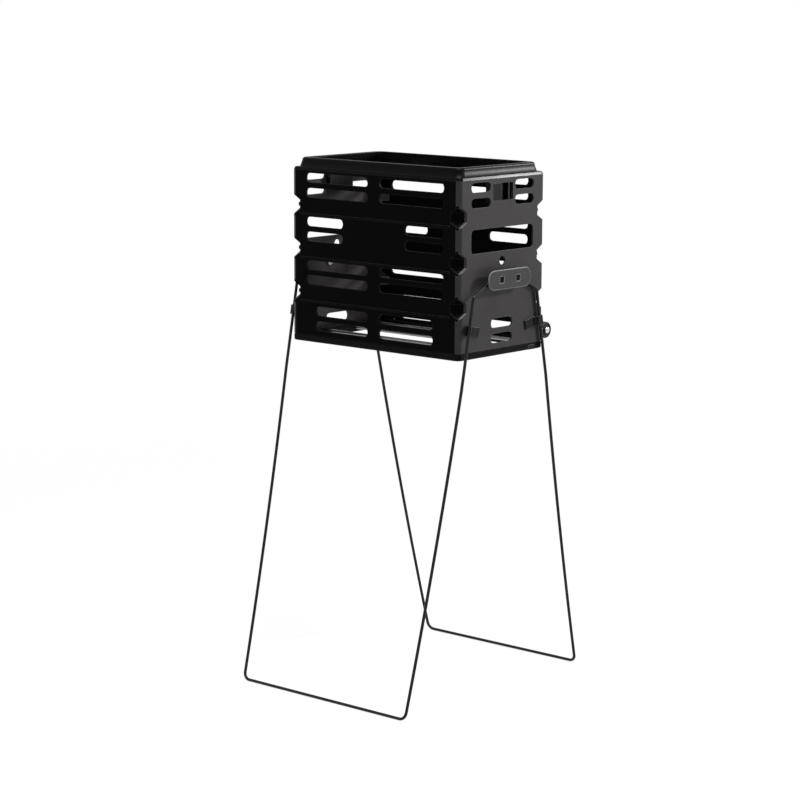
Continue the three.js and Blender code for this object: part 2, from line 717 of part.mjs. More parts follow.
// Cap nut on a pivot post's spigot, inside the basket
function pivotNut() {
  const outer = halfLength - WALL - GAP;
  const inner = outer - NUT_HEIGHT;
  return turned([
    [0, inner],
    [NUT_RADIUS - NUT_ROOF, inner],
    [NUT_RADIUS, inner + NUT_ROOF],
    [NUT_RADIUS, outer],
    [SPIGOT_RADIUS + GAP, outer],
    [SPIGOT_RADIUS + GAP, inner + NUT_ROOF],
    [0, inner + NUT_ROOF],
  ], SMALL_ROUND_STEPS);
}

// Where a leg clip sits: on the arm's line, turned to its slope, with its peg inboard of it
const pegBack = WIRE_RADIUS + GAP + LEG_CLIP_REACH * PEG_PLACE_SHARE;

function legClipPlace(side) {
  const tilt = Math.atan(armSlope(legClipZ));
  const outwards = new THREE.Vector3(0, side * Math.cos(tilt), Math.sin(tilt));
  const origin = new THREE.Vector3(0, side * armY(legClipZ), legClipZ);
  return { outwards, origin, peg: origin.clone().addScaledVector(outwards, -pegBack) };
}

// Leg clip: a base on the wall, a block beside the arm and a finger over it, open outwards.
// Its outline is drawn with x away from the basket's middle and y off the wall.
function legClip(level) {
  const inner = -(WIRE_RADIUS + GAP);
  const base = halfLength + GAP;
  const finger = wireLevel(level) + WIRE_RADIUS + GAP;
  const outline = [
    [inner - LEG_CLIP_REACH, base],
    [inner, base],
    [inner, finger],
    [LEG_CLIP_OVERHANG, finger],
    [LEG_CLIP_OVERHANG, finger + LEG_CLIP_THICK],
    [inner - LEG_CLIP_BLOCK, finger + LEG_CLIP_THICK],
    [inner - LEG_CLIP_BLOCK - LEG_CLIP_THICK, base + LEG_CLIP_THICK],
    [inner - LEG_CLIP_REACH, base + LEG_CLIP_THICK],
  ].map(([x, y]) => new THREE.Vector2(x, y));
  const body = alongZ([outline], -LEG_CLIP_WIDTH / 2, LEG_CLIP_WIDTH / 2);
  const tail = halfLength - WALL - GAP - PEG_TAIL;
  const root = base + LEG_CLIP_THICK / 2;
  const peg = new THREE.CylinderGeometry(PEG_RADIUS, PEG_RADIUS, root - tail, SMALL_ROUND_STEPS)
    .translate(-pegBack, (root + tail) / 2, 0);
  return geometryOf(solidOf(body).add(solidOf(peg)));
}

// Handle clip: a tray behind the wall with a spring tongue and a rib, which holds the raised arms
function handleClip() {
  const back = halfLength - lining;
  const floor = back - CLIP_TRAY_DEPTH;
  const front = halfLength - GAP;
  const bottom = wallTop - CLIP_TRAY_DROP - CLIP_TRAY_HEIGHT / 2;
  const top = bottom + CLIP_TRAY_HEIGHT;
  const edge = CLIP_TRAY_WIDTH / 2;
  const outside = block(floor - CLIP_TRAY_WALL, back, -edge - CLIP_TRAY_WALL, edge + CLIP_TRAY_WALL,
    bottom - CLIP_TRAY_WALL, top + CLIP_TRAY_WALL);
  const inside = block(floor, back + OVERRUN, -edge, edge, bottom, top);
  const tongueStart = -edge + CLIP_RIB_WIDTH / 2;
  const tongue = block(front - CLIP_TRAY_WALL, front, tongueStart, tongueStart + CLIP_TONGUE_WIDTH,
    bottom + GAP, top - GAP);
  const stem = block(floor - CLIP_TRAY_WALL / 2, front, tongueStart, tongueStart + CLIP_RIB_WIDTH,
    bottom + GAP, top - GAP);
  const rib = block(floor - CLIP_TRAY_WALL / 2, front, CLIP_RIB_PLACE - CLIP_RIB_WIDTH / 2,
    CLIP_RIB_PLACE + CLIP_RIB_WIDTH / 2, bottom + GAP, top - GAP);
  return geometryOf(joined([outside.subtract(inside), tongue, stem, rib]));
}

// Wheel: a solid tyre with rounded shoulders, dished faces and a bore
function wheelGeometry() {
  const bore = BOLT_RADIUS + RUN_GAP;
  const outer = wheelOuter;
  const inner = outer - WHEEL_WIDTH;
  const tread = WHEEL_RADIUS - WHEEL_SHOULDER;
  return turned([
    [bore, inner],
    [WHEEL_HUB_RADIUS, inner],
    [WHEEL_HUB_RADIUS + WHEEL_DISH, inner + WHEEL_DISH],
    [tread - WHEEL_DISH, inner + WHEEL_DISH],
    [tread, inner],
    [WHEEL_RADIUS, inner + WHEEL_SHOULDER],
    [WHEEL_RADIUS, outer - WHEEL_SHOULDER],
    [tread, outer],
    [tread - WHEEL_DISH, outer - WHEEL_DISH],
    [WHEEL_HUB_RADIUS + WHEEL_DISH, outer - WHEEL_DISH],
    [WHEEL_HUB_RADIUS, outer],
    [bore, outer],
    [bore, inner],
  ], ROUND_STEPS);
}

// Wheel bolt: a domed cap outside the wheel and a shank through wheel and cheek
const cheekOuter = wheelOuter - WHEEL_WIDTH - RUN_GAP;
const cheekInner = cheekOuter - CHEEK_THICK;

function wheelBolt() {
  const seat = wheelOuter + RUN_GAP;
  return turned([
    [0, cheekInner - BOLT_TAIL],
    [BOLT_RADIUS, cheekInner - BOLT_TAIL],
    [BOLT_RADIUS, seat],
    [BOLT_HEAD_RADIUS, seat],
    ...arc(0, 0, 1, 0, Math.PI / 2, CORNER_STEPS).slice(0, -1).map((point) => [
      BOLT_HEAD_RADIUS * point.x,
      seat + BOLT_HEAD_HEIGHT * THREE.MathUtils.lerp(BOLT_RIM_SHARE, 1, point.y),
    ]),
    [0, seat + BOLT_HEAD_HEIGHT],
  ], ROUND_STEPS);
}

function wheelNut() {
  const seat = cheekInner - GAP;
  const bore = (BOLT_RADIUS + GAP) / Math.cos(Math.PI / WHEEL_NUT_SIDES);
  return turned([
    [bore, seat - WHEEL_NUT_HEIGHT],
    [WHEEL_NUT_RADIUS, seat - WHEEL_NUT_HEIGHT],
    [WHEEL_NUT_RADIUS, seat],
    [bore, seat],
    [bore, seat - WHEEL_NUT_HEIGHT],
  ], WHEEL_NUT_SIDES);
}

// Wheel bracket: a plate on the rear wall and a cheek that narrows to a nose round the bolt
function wheelBracket() {
  const back = halfWidth + GAP;
  const plate = block(cheekOuter - BRACKET_PLATE_WIDTH, cheekOuter, back, back + BRACKET_PLATE_THICK,
    wheelZ - BRACKET_PLATE_HEIGHT / 2, wheelZ + BRACKET_PLATE_HEIGHT / 2);
  const root = BRACKET_PLATE_HEIGHT / 2;
  const outline = [
    new THREE.Vector2(back, wheelZ - root),
    ...arc(wheelY, wheelZ, CHEEK_NOSE, -Math.PI / 3, Math.PI / 3, BEND_STEPS),
    new THREE.Vector2(back, wheelZ + root),
  ];
  const cheek = solidOf(alongX([outline], cheekInner, cheekOuter));
  const bore = circle(wheelY, wheelZ, BOLT_RADIUS + GAP, SMALL_ROUND_STEPS);
  const bolt = solidOf(alongX([bore], cheekInner - OVERRUN, cheekOuter + OVERRUN));
  const screws = bracketScrewPlaces().map(([x, z]) =>
    circle(x, z, SCREW_RADIUS + GAP, HOLE_STEPS));
  const drill = solidOf(alongY(screws, back - OVERRUN, back + BRACKET_PLATE_THICK + OVERRUN));
  return plate.add(cheek).subtract(bolt).subtract(drill);
}

function mirroredX(solid) {
  return geometryOf(solid.mirror([1, 0, 0]));
}

// Assembly
const hopper = new THREE.Group();

function place(parent, name, geometry, material) {
  const mesh = new THREE.Mesh(geometry, material);
  mesh.name = name;
  parent.add(mesh);
  return mesh;
}

function addWalls() {
  place(hopper, 'wall_front', geometryOf(longWall()), plastic(0x17171a));
  place(hopper, 'wall_rear', geometryOf(rearWall()), plastic(0x17171a));
  place(hopper, 'wall_right', geometryOf(shortWall()), plastic(0x232223));
  place(hopper, 'wall_left', geometryOf(shortWall()), plastic(0x232223)).rotation.z = Math.PI;
  place(hopper, 'top_rim', topRim(), plastic(0x1c1c1e));
}

function addCornerScrews() {
  const names = { '-1': { '-1': 'front_left', 1: 'rear_left' }, 1: { '-1': 'front_right', 1: 'rear_right' } };
  const geometry = screwGeometry(WALL + GAP + BOSS_DEPTH);
  for (const [sx, sy] of allCorners) {
    const corner = new THREE.Group();
    corner.position.set(sx * halfLength, sy * halfWidth, 0);
    corner.rotation.z = Math.atan2(-sy, -sx);
    hopper.add(corner);
    notchHeights.forEach((height, i) => {
      const screw = place(corner, `corner_screw_${names[sx][sy]}_${i + 1}`, geometry, steel(0x8d8d90, 0.35));
      screw.position.set(notchFloor - GAP, 0, height);
    });
  }
}

function addBottom() {
  place(hopper, 'bottom_frame', geometryOf(bottomFrame()), plastic(0x2a2929));
  barPlaces.forEach((y, i) => {
    place(hopper, `roller_bar_${i + 1}`, rollerBar(), steel(0x6f7072, 0.3)).position.set(0, y, barZ);
  });
}

function addLegs() {
  place(hopper, 'rear_leg', legFrame(LEG_LEVEL.rear, REAR_TAPER), coatedWire());
  place(hopper, 'front_leg', legFrame(LEG_LEVEL.front, FRONT_TAPER), coatedWire()).rotation.z = Math.PI;
}

// What one end of the basket carries, built at +X and turned round for the other end
function addEnd(side, turn) {
  const end = new THREE.Group();
  end.rotation.z = turn;
  hopper.add(end);
  place(end, `pivot_plate_${side}`, pivotPlate(), plastic(0x3a393a));
  place(end, `handle_clip_${side}`, handleClip(), plastic(0x333233));
  place(end, `frame_catch_${side}`, frameCatch(), plastic(0x0f0f10));
  for (const sy of signs) {
    const leg = sy * Math.cos(turn) > 0 ? 'rear' : 'front';
    const level = LEG_LEVEL[leg];
    place(end, `pivot_post_${side}_${leg}`, pivotPost(level), steel(0x1b1b1d, 0.5))
      .position.set(0, sy * PIVOT_Y, pivotZ);
    place(end, `pivot_nut_${side}_${leg}`, pivotNut(), steel(0x77787a, 0.35))
      .position.set(0, sy * PIVOT_Y, pivotZ);
    const clip = place(end, `leg_clip_${side}_${leg}`, legClip(level), plastic(0x121213));
    const { outwards, origin } = legClipPlace(sy);
    const off = new THREE.Vector3(1, 0, 0);
    clip.quaternion.setFromRotationMatrix(
      new THREE.Matrix4().makeBasis(outwards, off, outwards.clone().cross(off)));
    clip.position.copy(origin);
  }
}

function addWheels() {
  for (const [side, sx] of [['right', 1], ['left', -1]]) {
    const mirror = (geometry) => (sx > 0 ? geometry : mirroredX(solidOf(geometry)));
    const axle = new THREE.Group();
    axle.position.set(0, wheelY, wheelZ);
    hopper.add(axle);
    place(axle, `wheel_${side}`, mirror(wheelGeometry()), plastic(0x101011));
    place(axle, `wheel_bolt_${side}`, mirror(wheelBolt()), steel(0xc9cacc, 0.2));
    place(axle, `wheel_nut_${side}`, mirror(wheelNut()), steel(0x9a9b9d, 0.35));
    place(hopper, `wheel_bracket_${side}`, mirror(geometryOf(wheelBracket())), plastic(0x161617));
    const screw = screwGeometry(BRACKET_PLATE_THICK + GAP + WALL + PEG_TAIL);
    bracketScrewPlaces().forEach(([x, z], i) => {
      const mesh = place(hopper, `bracket_screw_${side}_${i + 1}`, screw, steel(0x8d8d90, 0.35));
      mesh.rotation.z = -Math.PI / 2;
      mesh.position.set(sx * x, halfWidth + GAP + BRACKET_PLATE_THICK + GAP, z);
    });
  }
}

addWalls();
addCornerScrews();
addBottom();
addLegs();
addEnd('right', 0);
addEnd('left', Math.PI);
addWheels();

export default hopper;
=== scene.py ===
"""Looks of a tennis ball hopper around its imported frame: moulded walls, coated wire legs, steel bars.

Run as a script inside Blender. Metres, +Z up, X along the basket, floor at Z 0.
"""

import json
import math

import bmesh
import bpy
import numpy as np
from bpy.props import FloatProperty, FloatVectorProperty, PointerProperty
from mathutils import Matrix, Vector


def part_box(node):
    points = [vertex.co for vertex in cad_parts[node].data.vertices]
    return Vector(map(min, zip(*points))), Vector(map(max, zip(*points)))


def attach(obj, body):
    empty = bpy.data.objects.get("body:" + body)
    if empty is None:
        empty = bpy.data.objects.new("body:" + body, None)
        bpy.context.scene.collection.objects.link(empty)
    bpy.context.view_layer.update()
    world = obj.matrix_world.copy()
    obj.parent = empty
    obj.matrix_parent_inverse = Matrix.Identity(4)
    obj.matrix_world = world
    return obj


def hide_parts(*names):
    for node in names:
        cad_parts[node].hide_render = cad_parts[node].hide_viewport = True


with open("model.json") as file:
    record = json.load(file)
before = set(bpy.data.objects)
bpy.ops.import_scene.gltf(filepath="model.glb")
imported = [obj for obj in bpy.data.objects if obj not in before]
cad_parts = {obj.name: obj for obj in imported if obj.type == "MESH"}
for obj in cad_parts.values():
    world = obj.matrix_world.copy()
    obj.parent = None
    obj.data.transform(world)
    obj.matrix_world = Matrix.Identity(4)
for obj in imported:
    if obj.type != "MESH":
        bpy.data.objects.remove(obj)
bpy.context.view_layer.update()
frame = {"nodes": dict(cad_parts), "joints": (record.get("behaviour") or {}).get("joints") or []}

bl_info = {
    "name": "Tennis Ball Hopper",
    "version": (1, 0, 0),
    "blender": (4, 5, 0),
    "location": "3D View > Sidebar > Hopper",
    "description": "Builds the visible pieces, finishes and studio of a tennis ball hopper",
    "category": "Object",
}

MM = 0.001
ROOT = "basket"
SIDES = ("right", "left")
ENDS = ("front", "rear")


# Places read from the frame
def joint_place(name):
    """The point of a joint's axis, as a vector."""
    found = next(joint for joint in frame["joints"] if joint["name"] == name)
    return Vector(found["pos_m"])


PIVOT = joint_place("rear_leg_swing")
WHEEL_AXLE = joint_place("wheel_right_spin")
BAR_AXES = [joint_place(f"roller_bar_{i}_roll") for i in (1, 2, 3, 4)]
BAR_LOW, BAR_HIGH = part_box("roller_bar_1")
RIM_LOW, RIM_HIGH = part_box("top_rim")
REAR_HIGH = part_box("rear_leg")[1]
FRONT_LOW, FRONT_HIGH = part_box("front_leg")
HALF_LENGTH = RIM_HIGH.x
HALF_WIDTH = RIM_HIGH.y


# Sizes and colours that a user would change
def length(name, description, millimetres):
    """A length property in metres, from a default in millimetres."""
    return FloatProperty(name=name, description=description, default=millimetres * MM,
                         unit="LENGTH", precision=4)


def linear(hexadecimal):
    """An sRGB hex colour as linear red, green, blue."""
    parts = [int(hexadecimal[i:i + 2], 16) / 255 for i in (1, 3, 5)]
    return [part / 12.92 if part <= 0.04045 else ((part + 0.055) / 1.055) ** 2.4 for part in parts]


def colour(name, description, hexadecimal):
    """A colour property whose default is an sRGB hex colour."""
    return FloatVectorProperty(name=name, description=description, default=linear(hexadecimal),
                               subtype="COLOR", size=3, min=0.0, max=1.0)


class HopperSizes(bpy.types.PropertyGroup):
    """Sizes of the pieces' finer shapes."""

    moulding_edge: length("Moulding edge", "Radius of the soft edge on moulded walls and frame", 0.7)
    small_edge: length("Small edge", "Radius of the soft edge on clips, plates and nuts", 0.35)
    rim_lip: length("Rim lip", "Height of the rim's flange over the walls", 4.5)
    rim_ledge: length("Rim ledge", "Width of the flange's ledge", 5.5)
    rim_side: length("Rim side", "Inset of the rim's steep side under its shoulder", 8.0)
    rim_shoulder: length("Rim shoulder", "Height of the rim's rounded shoulder", 5.0)
    wire_diameter: length("Wire diameter", "Coated diameter of the leg wire", 5.0)
    wire_kink_radius: length("Kink radius", "Bend radius at each arm's kink", 11.0)
    wire_foot_radius: length("Foot radius", "Bend radius between arm and foot bar", 12.0)
    arm_bow: length("Arm bow", "How far each arm bows in from a straight line", 6.5)
    bar_chamfer: length("Bar chamfer", "Chamfer at the ends of the floor bars", 0.5)


class HopperColours(bpy.types.PropertyGroup):
    """Colours of the finishes."""

    # The long and short walls are one black plastic: the long walls' colour is darker as painted shade, and
    # the short walls' charcoal is painted light, a shaded and a lit copy of one material.
    long_wall: colour("Long walls", "Black polypropylene of the long walls, darker as painted shade", "#040405")
    short_wall: colour("Short walls", "Black polypropylene of the short walls, paler as painted light", "#242122")
    rim: colour("Rim", "Polypropylene of the rim and bottom frame", "#050505")
    plate: colour("Pivot plate", "Dark grey nylon of the pivot plates", "#282728")
    clip: colour("Clips", "Black nylon of clips, catches and brackets", "#080809")
    wheel: colour("Wheels", "Black polyethylene of the wheels", "#131314")
    coating: colour("Wire coating", "Powder coat on the leg wire", "#060607")
    rod: colour("Floor bars", "Drawn steel of the floor bars", "#8c8d90")
    zinc: colour("Zinc plate", "Zinc plated steel of bracket screws and nuts", "#b4b6ba")
    # Blackened steel, made darker still as painted shade for the post ends sunk in the pivot plates' square
    # holes.
    blackened: colour("Blackened steel", "Blackened steel of pivot posts and corner screws", "#070708")
    chrome: colour("Bolt caps", "Bright chrome of the wheel bolt caps", "#d5d7da")


# Meshes
SAME_POINT = 0.001 * MM
SAME_CAD_POINT = 0.002 * MM
FLAT_ANGLE = math.radians(0.3)
EDGE_ANGLE = math.radians(33)
TURN_STEPS = 48
AXIS_RADIUS = 1e-7


def placed(name, data):
    """A new object in the scene's collection."""
    item = bpy.data.objects.new(name, data)
    bpy.context.scene.collection.objects.link(item)
    return item


def unit(vectors):
    """Vectors along the last axis, each divided by its length."""
    return vectors / np.linalg.norm(vectors, axis=-1, keepdims=True)


def full_turn(steps):
    """Angles of a full turn, the last one step before the first comes round again."""
    return np.linspace(0, 2 * np.pi, steps, endpoint=False)


def ring_faces(rows, columns):
    """Quads between neighbouring rings of a grid that is closed around: corner (i, j) joins (i, j + 1)
    and the ring above."""
    i, j = np.meshgrid(np.arange(rows - 1), np.arange(columns), indexing="ij")
    near = i * columns + j
    beside = i * columns + (j + 1) % columns
    return np.stack([near, beside, beside + columns, near + columns], axis=-1).reshape(-1, 4)


def mesh_object(name, vertices, faces, smooth_angle=40):
    """A mesh object at the origin, smooth but for edges sharper than an angle in degrees."""
    mesh = bpy.data.meshes.new(name)
    mesh.from_pydata(np.asarray(vertices).tolist(), [], [list(face) for face in faces])
    mesh.validate()
    mesh.shade_smooth()
    mesh.set_sharp_from_angle(angle=math.radians(smooth_angle))
    return placed(name, mesh)


def lofted(name, rings, closed_section=False, smooth_angle=40):
    """Rings of points carried into a surface. A closed section joins the last ring to the first, and an
    open one is closed by a fan to the middle of each end ring."""
    rings = np.asarray(rings, float)
    rows, columns = rings.shape[:2]
    vertices = rings.reshape(-1, 3)
    if closed_section:
        faces = ring_faces(rows + 1, columns) % (rows * columns)
        return mesh_object(name, vertices, faces, smooth_angle)
    ends = np.stack([rings[0].mean(axis=0), rings[-1].mean(axis=0)])
    vertices = np.concatenate([vertices, ends])
    j = np.arange(columns)
    after = (j + 1) % columns
    first = np.stack([after, j, np.full(columns, rows * columns)], axis=-1)
    top = (rows - 1) * columns
    last = np.stack([top + j, top + after, np.full(columns, rows * columns + 1)], axis=-1)
    faces = [*ring_faces(rows, columns), *first, *last]
    return mesh_object(name, vertices, faces, smooth_angle)


def point_outwards(piece):
    """Merges doubles and turns the faces of a closed piece outwards."""
    shape = bmesh.new()
    shape.from_mesh(piece.data)
    bmesh.ops.remove_doubles(shape, verts=shape.verts, dist=SAME_POINT)
    bmesh.ops.recalc_face_normals(shape, faces=shape.faces)
    shape.to_mesh(piece.data)
    shape.free()
    return piece


def turned(name, profile, centre, direction=1, bored=False):
    """A piece turned about X: profile points (radius r, place p) give p along X and r (cos a, sin a)
    round it, for a full turn of the angle a. The profile of a bored piece is closed. Points on the axis
    stand off it by less than what merges them into one."""
    profile = np.asarray(profile, float)
    angle = full_turn(TURN_STEPS)
    radius = np.maximum(profile[:, :1], AXIS_RADIUS)
    x = np.broadcast_to(direction * profile[:, 1:], (len(profile), TURN_STEPS))
    rings = np.stack([x, radius * np.cos(angle), radius * np.sin(angle)], axis=-1) + np.asarray(centre)
    return point_outwards(lofted(name, rings, closed_section=bored, smooth_angle=35))


def arc(centre, radius, start, end, steps):
    """Points of an arc in a plane: centre + radius (cos a, sin a), for angles in degrees."""
    angle = np.radians(np.linspace(start, end, steps + 1))
    return np.stack([centre[0] + radius * np.cos(angle), centre[1] + radius * np.sin(angle)], axis=-1)


def rounded_rectangle(half_x, half_y, radius, steps):
    """Corner arcs of a rounded rectangle, anticlockwise from +X."""
    corners = [(1, 1, 0), (-1, 1, 90), (-1, -1, 180), (1, -1, 270)]
    return np.concatenate([
        arc((x * (half_x - radius), y * (half_y - radius)), radius, start, start + 90, steps)
        for x, y, start in corners
    ])


def moulded_copy(node, name, edge):
    """A copy of a CAD node with its doubles merged, its flat faces joined and its edges rounded."""
    shape = bmesh.new()
    shape.from_mesh(frame["nodes"][node].data)
    bmesh.ops.remove_doubles(shape, verts=shape.verts, dist=SAME_CAD_POINT)
    bmesh.ops.dissolve_limit(shape, angle_limit=FLAT_ANGLE, verts=shape.verts, edges=shape.edges)
    mesh = bpy.data.meshes.new(name)
    shape.to_mesh(mesh)
    shape.free()
    mesh.shade_smooth()
    piece = placed(name, mesh)
    bevel = piece.modifiers.new("soft edge", "BEVEL")
    bevel.width = edge
    bevel.segments = 2
    bevel.limit_method = "ANGLE"
    bevel.angle_limit = EDGE_ANGLE
    bevel.use_clamp_overlap = True
    evened = piece.modifiers.new("flat faces", "WEIGHTED_NORMAL")
    evened.keep_sharp = True
    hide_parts(node)
    return piece


def dressed(piece, body, material):
    """Gives a piece its finish and its CAD body."""
    piece.data.materials.clear()
    piece.data.materials.append(material)
    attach(piece, body)


# Materials
# Where a pale edge, partly rubbed and partly painted highlight, starts and where it is full, and where most
# values of noise lie
EDGE_COSINES = (0.995, 0.93)
NOISE_RANGE = (0.3, 0.7)
WHITE = (1.0, 1.0, 1.0, 1.0)


def add_node(tree, kind, inputs=None, **settings):
    """Adds a node, sets its properties, and links or sets its inputs by name or number."""
    node = tree.nodes.new(kind)
    for key, value in settings.items():
        setattr(node, key, value)
    for socket, value in (inputs or {}).items():
        if isinstance(value, bpy.types.NodeSocket):
            tree.links.new(value, node.inputs[socket])
        else:
            node.inputs[socket].default_value = value
    return node


def empty_tree(owner):
    """The cleared node tree of a material or world."""
    owner.use_nodes = True
    owner.node_tree.nodes.clear()
    return owner.node_tree


def new_material(name, **shader_inputs):
    """A material, its node tree and its Principled shader, with the named sockets set. A material that
    is there already comes alone."""
    material = bpy.data.materials.get(name)
    if material:
        return material, None, None
    material = bpy.data.materials.new(name)
    tree = empty_tree(material)
    shader = add_node(tree, "ShaderNodeBsdfPrincipled", {
        key.replace("_", " "): value for key, value in shader_inputs.items()})
    add_node(tree, "ShaderNodeOutputMaterial", {"Surface": shader.outputs["BSDF"]})
    return material, tree, shader


def rgba(colour_value, gain=1.0):
    """A linear colour as red, green, blue, alpha, made paler or darker by a gain."""
    return [min(1.0, part * gain) for part in colour_value] + [1.0]


def per_metre(size_mm):
    """The scale of a pattern whose lumps have about the given size in millimetres."""
    return 1 / (size_mm * MM)


def vary(tree, shader, pattern, colours, dullness, roughnesses, bumps=None):
    """What all finishes share: the colour goes from the first to the second with one pattern and the
    roughness likewise with another. Bumps are a pattern, its depth in millimetres and its strength. The
    roughness comes back for what else changes it."""
    tone = add_node(tree, "ShaderNodeMix", {"Factor": pattern, "A": colours[0], "B": colours[1]},
                    data_type="RGBA")
    gloss = add_node(tree, "ShaderNodeMapRange", {
        "Value": dullness, "From Min": NOISE_RANGE[0], "From Max": NOISE_RANGE[1],
        "To Min": roughnesses[0], "To Max": roughnesses[1]})
    tree.links.new(tone.outputs["Result"], shader.inputs["Base Color"])
    tree.links.new(gloss.outputs["Result"], shader.inputs["Roughness"])
    if bumps:
        height, depth_mm, strength = bumps
        bump = add_node(tree, "ShaderNodeBump", {
            "Height": height, "Distance": depth_mm * MM, "Strength": strength})
        tree.links.new(bump.outputs["Normal"], shader.inputs["Normal"])
    return gloss.outputs["Result"]


def wear_and_highlight_edge(tree, radius_mm):
    """How far a point lies on an edge, from 0 to 1: it grows as the cosine falls between the surface's
    normal and the normal that an edge rounded by the radius would have."""
    rounded = add_node(tree, "ShaderNodeBevel", {"Radius": radius_mm * MM}, samples=4)
    true = add_node(tree, "ShaderNodeNewGeometry")
    cosine = add_node(tree, "ShaderNodeVectorMath", {
        0: rounded.outputs["Normal"], 1: true.outputs["Normal"]}, operation="DOT_PRODUCT")
    return add_node(tree, "ShaderNodeMapRange", {
        "Value": cosine.outputs["Value"], "From Min": EDGE_COSINES[0], "From Max": EDGE_COSINES[1],
        "To Min": 0.0, "To Max": 1.0}).outputs["Result"]


def moulded_plastic(name, colour_value, roughness, grain_mm, depth_mm, shade=0.25, wear_and_highlight=0.5, shine=0.5,
                    spread=0.06, rub=(0.8, 0.12), polished_band=None):
    """Injection moulded polypropylene or nylon: an even spark-eroded grain, slow cloudy changes of shade
    from the flow of the melt, and pale edges. The pale edges are partly rubbed by handling and partly a
    painted highlight of edges catching the light, mostly painted highlight where their strength is high.
    The real grain is a tenth of a millimetre and is drawn coarser, so that it shows. The roughness strays
    by the spread to either side. The rub is the radius in millimetres of a pale edge and how much paler it
    is, and the argument after shade is its strength. A polished band between two heights is smoother by its
    third number."""
    material, tree, shader = new_material(name, IOR=1.49, Specular_IOR_Level=shine)
    if tree is None:
        return material
    place = add_node(tree, "ShaderNodeTexCoord").outputs["Object"]
    cloud = add_node(tree, "ShaderNodeTexNoise", {
        "Vector": place, "Scale": per_metre(55.0), "Detail": 3.0, "Roughness": 0.55})
    scuff = add_node(tree, "ShaderNodeTexNoise", {
        "Vector": place, "Scale": per_metre(7.0), "Detail": 6.0, "Roughness": 0.7})
    grain = add_node(tree, "ShaderNodeTexNoise", {
        "Vector": place, "Scale": per_metre(grain_mm), "Detail": 2.0, "Roughness": 0.55})
    # Pale edges: rubbing from handling and, where their strength is high, as on the pivot plates and short
    # walls, a painted highlight of edges catching the light.
    edge = add_node(tree, "ShaderNodeMath", {0: wear_and_highlight_edge(tree, rub[0]), 1: wear_and_highlight}, operation="MULTIPLY")
    rubbed_and_lit = add_node(tree, "ShaderNodeMath", {0: edge.outputs["Value"], 1: scuff.outputs["Fac"]},
                    operation="MULTIPLY")
    tone = add_node(tree, "ShaderNodeMix", {
        "Factor": cloud.outputs["Fac"],
        "A": rgba(colour_value, 1 - shade), "B": rgba(colour_value, 1 + shade)}, data_type="RGBA")
    paler = rgba([rub[1] + part for part in colour_value])
    gloss = vary(tree, shader, rubbed_and_lit.outputs["Value"], (tone.outputs["Result"], paler),
                 scuff.outputs["Fac"], (roughness - spread, roughness + spread),
                 (grain.outputs["Fac"], depth_mm, 0.6))
    if polished_band:
        low, high, smoother = polished_band
        height = add_node(tree, "ShaderNodeSeparateXYZ", {0: place}).outputs["Z"]
        within = add_node(tree, "ShaderNodeMath", {0: height, 1: (low + high) / 2, 2: (high - low) / 2},
                          operation="COMPARE")
        polished = add_node(tree, "ShaderNodeMath", {0: within.outputs["Value"], 1: -smoother, 2: gloss},
                            operation="MULTIPLY_ADD")
        tree.links.new(polished.outputs["Value"], shader.inputs["Roughness"])
    return material


def powder_coat(name, colour_value, roughnesses, shine):
    """Black polyester powder coat on wire: a melted skin with the low dimples of orange peel, duller and
    a little paler where it has been rubbed."""
    material, tree, shader = new_material(name, IOR=1.5, Specular_IOR_Level=shine)
    if tree is None:
        return material
    place = add_node(tree, "ShaderNodeTexCoord").outputs["Object"]
    peel = add_node(tree, "ShaderNodeTexNoise", {
        "Vector": place, "Scale": per_metre(1.6), "Detail": 1.0, "Roughness": 0.55})
    rub = add_node(tree, "ShaderNodeTexNoise", {
        "Vector": place, "Scale": per_metre(24.0), "Detail": 5.0, "Roughness": 0.55})
    vary(tree, shader, rub.outputs["Fac"], (rgba(colour_value, 0.8), rgba(colour_value, 1.6)),
         rub.outputs["Fac"], roughnesses, (peel.outputs["Fac"], 0.06, 0.5))
    return material


def drawn_steel(name, colour_value, roughnesses):
    """Bright drawn steel rod: fine lines along the pull, with dull stains of handling. The rod lies
    along X, so the lines are noise drawn out along X, and they are coarser than real ones to show."""
    material, tree, shader = new_material(name, Metallic=1.0)
    if tree is None:
        return material
    place = add_node(tree, "ShaderNodeTexCoord").outputs["Object"]
    pulled = add_node(tree, "ShaderNodeMapping", {"Vector": place, "Scale": (0.02, 1.0, 1.0)})
    lines = add_node(tree, "ShaderNodeTexNoise", {
        "Vector": pulled.outputs["Vector"], "Scale": per_metre(0.8), "Detail": 3.0, "Roughness": 0.55})
    stain = add_node(tree, "ShaderNodeTexNoise", {
        "Vector": place, "Scale": per_metre(18.0), "Detail": 5.0, "Roughness": 0.55})
    vary(tree, shader, stain.outputs["Fac"], (rgba(colour_value, 0.7), rgba(colour_value, 1.1)),
         lines.outputs["Fac"], roughnesses, (lines.outputs["Fac"], 0.02, 0.4))
    return material


def plated_steel(name, colour_value, roughness):
    """Plated or blackened steel: an even metal skin with a faint mottle from the bath, which makes it up
    to a quarter smoother or rougher."""
    material, tree, shader = new_material(name, Metallic=1.0)
    if tree is None:
        return material
    place = add_node(tree, "ShaderNodeTexCoord").outputs["Object"]
    mottle = add_node(tree, "ShaderNodeTexNoise", {
        "Vector": place, "Scale": per_metre(2.5), "Detail": 4.0, "Roughness": 0.55})
    vary(tree, shader, mottle.outputs["Fac"], (rgba(colour_value, 0.8), rgba(colour_value, 1.1)),
         mottle.outputs["Fac"], (roughness * 0.75, roughness * 1.25))
    return material


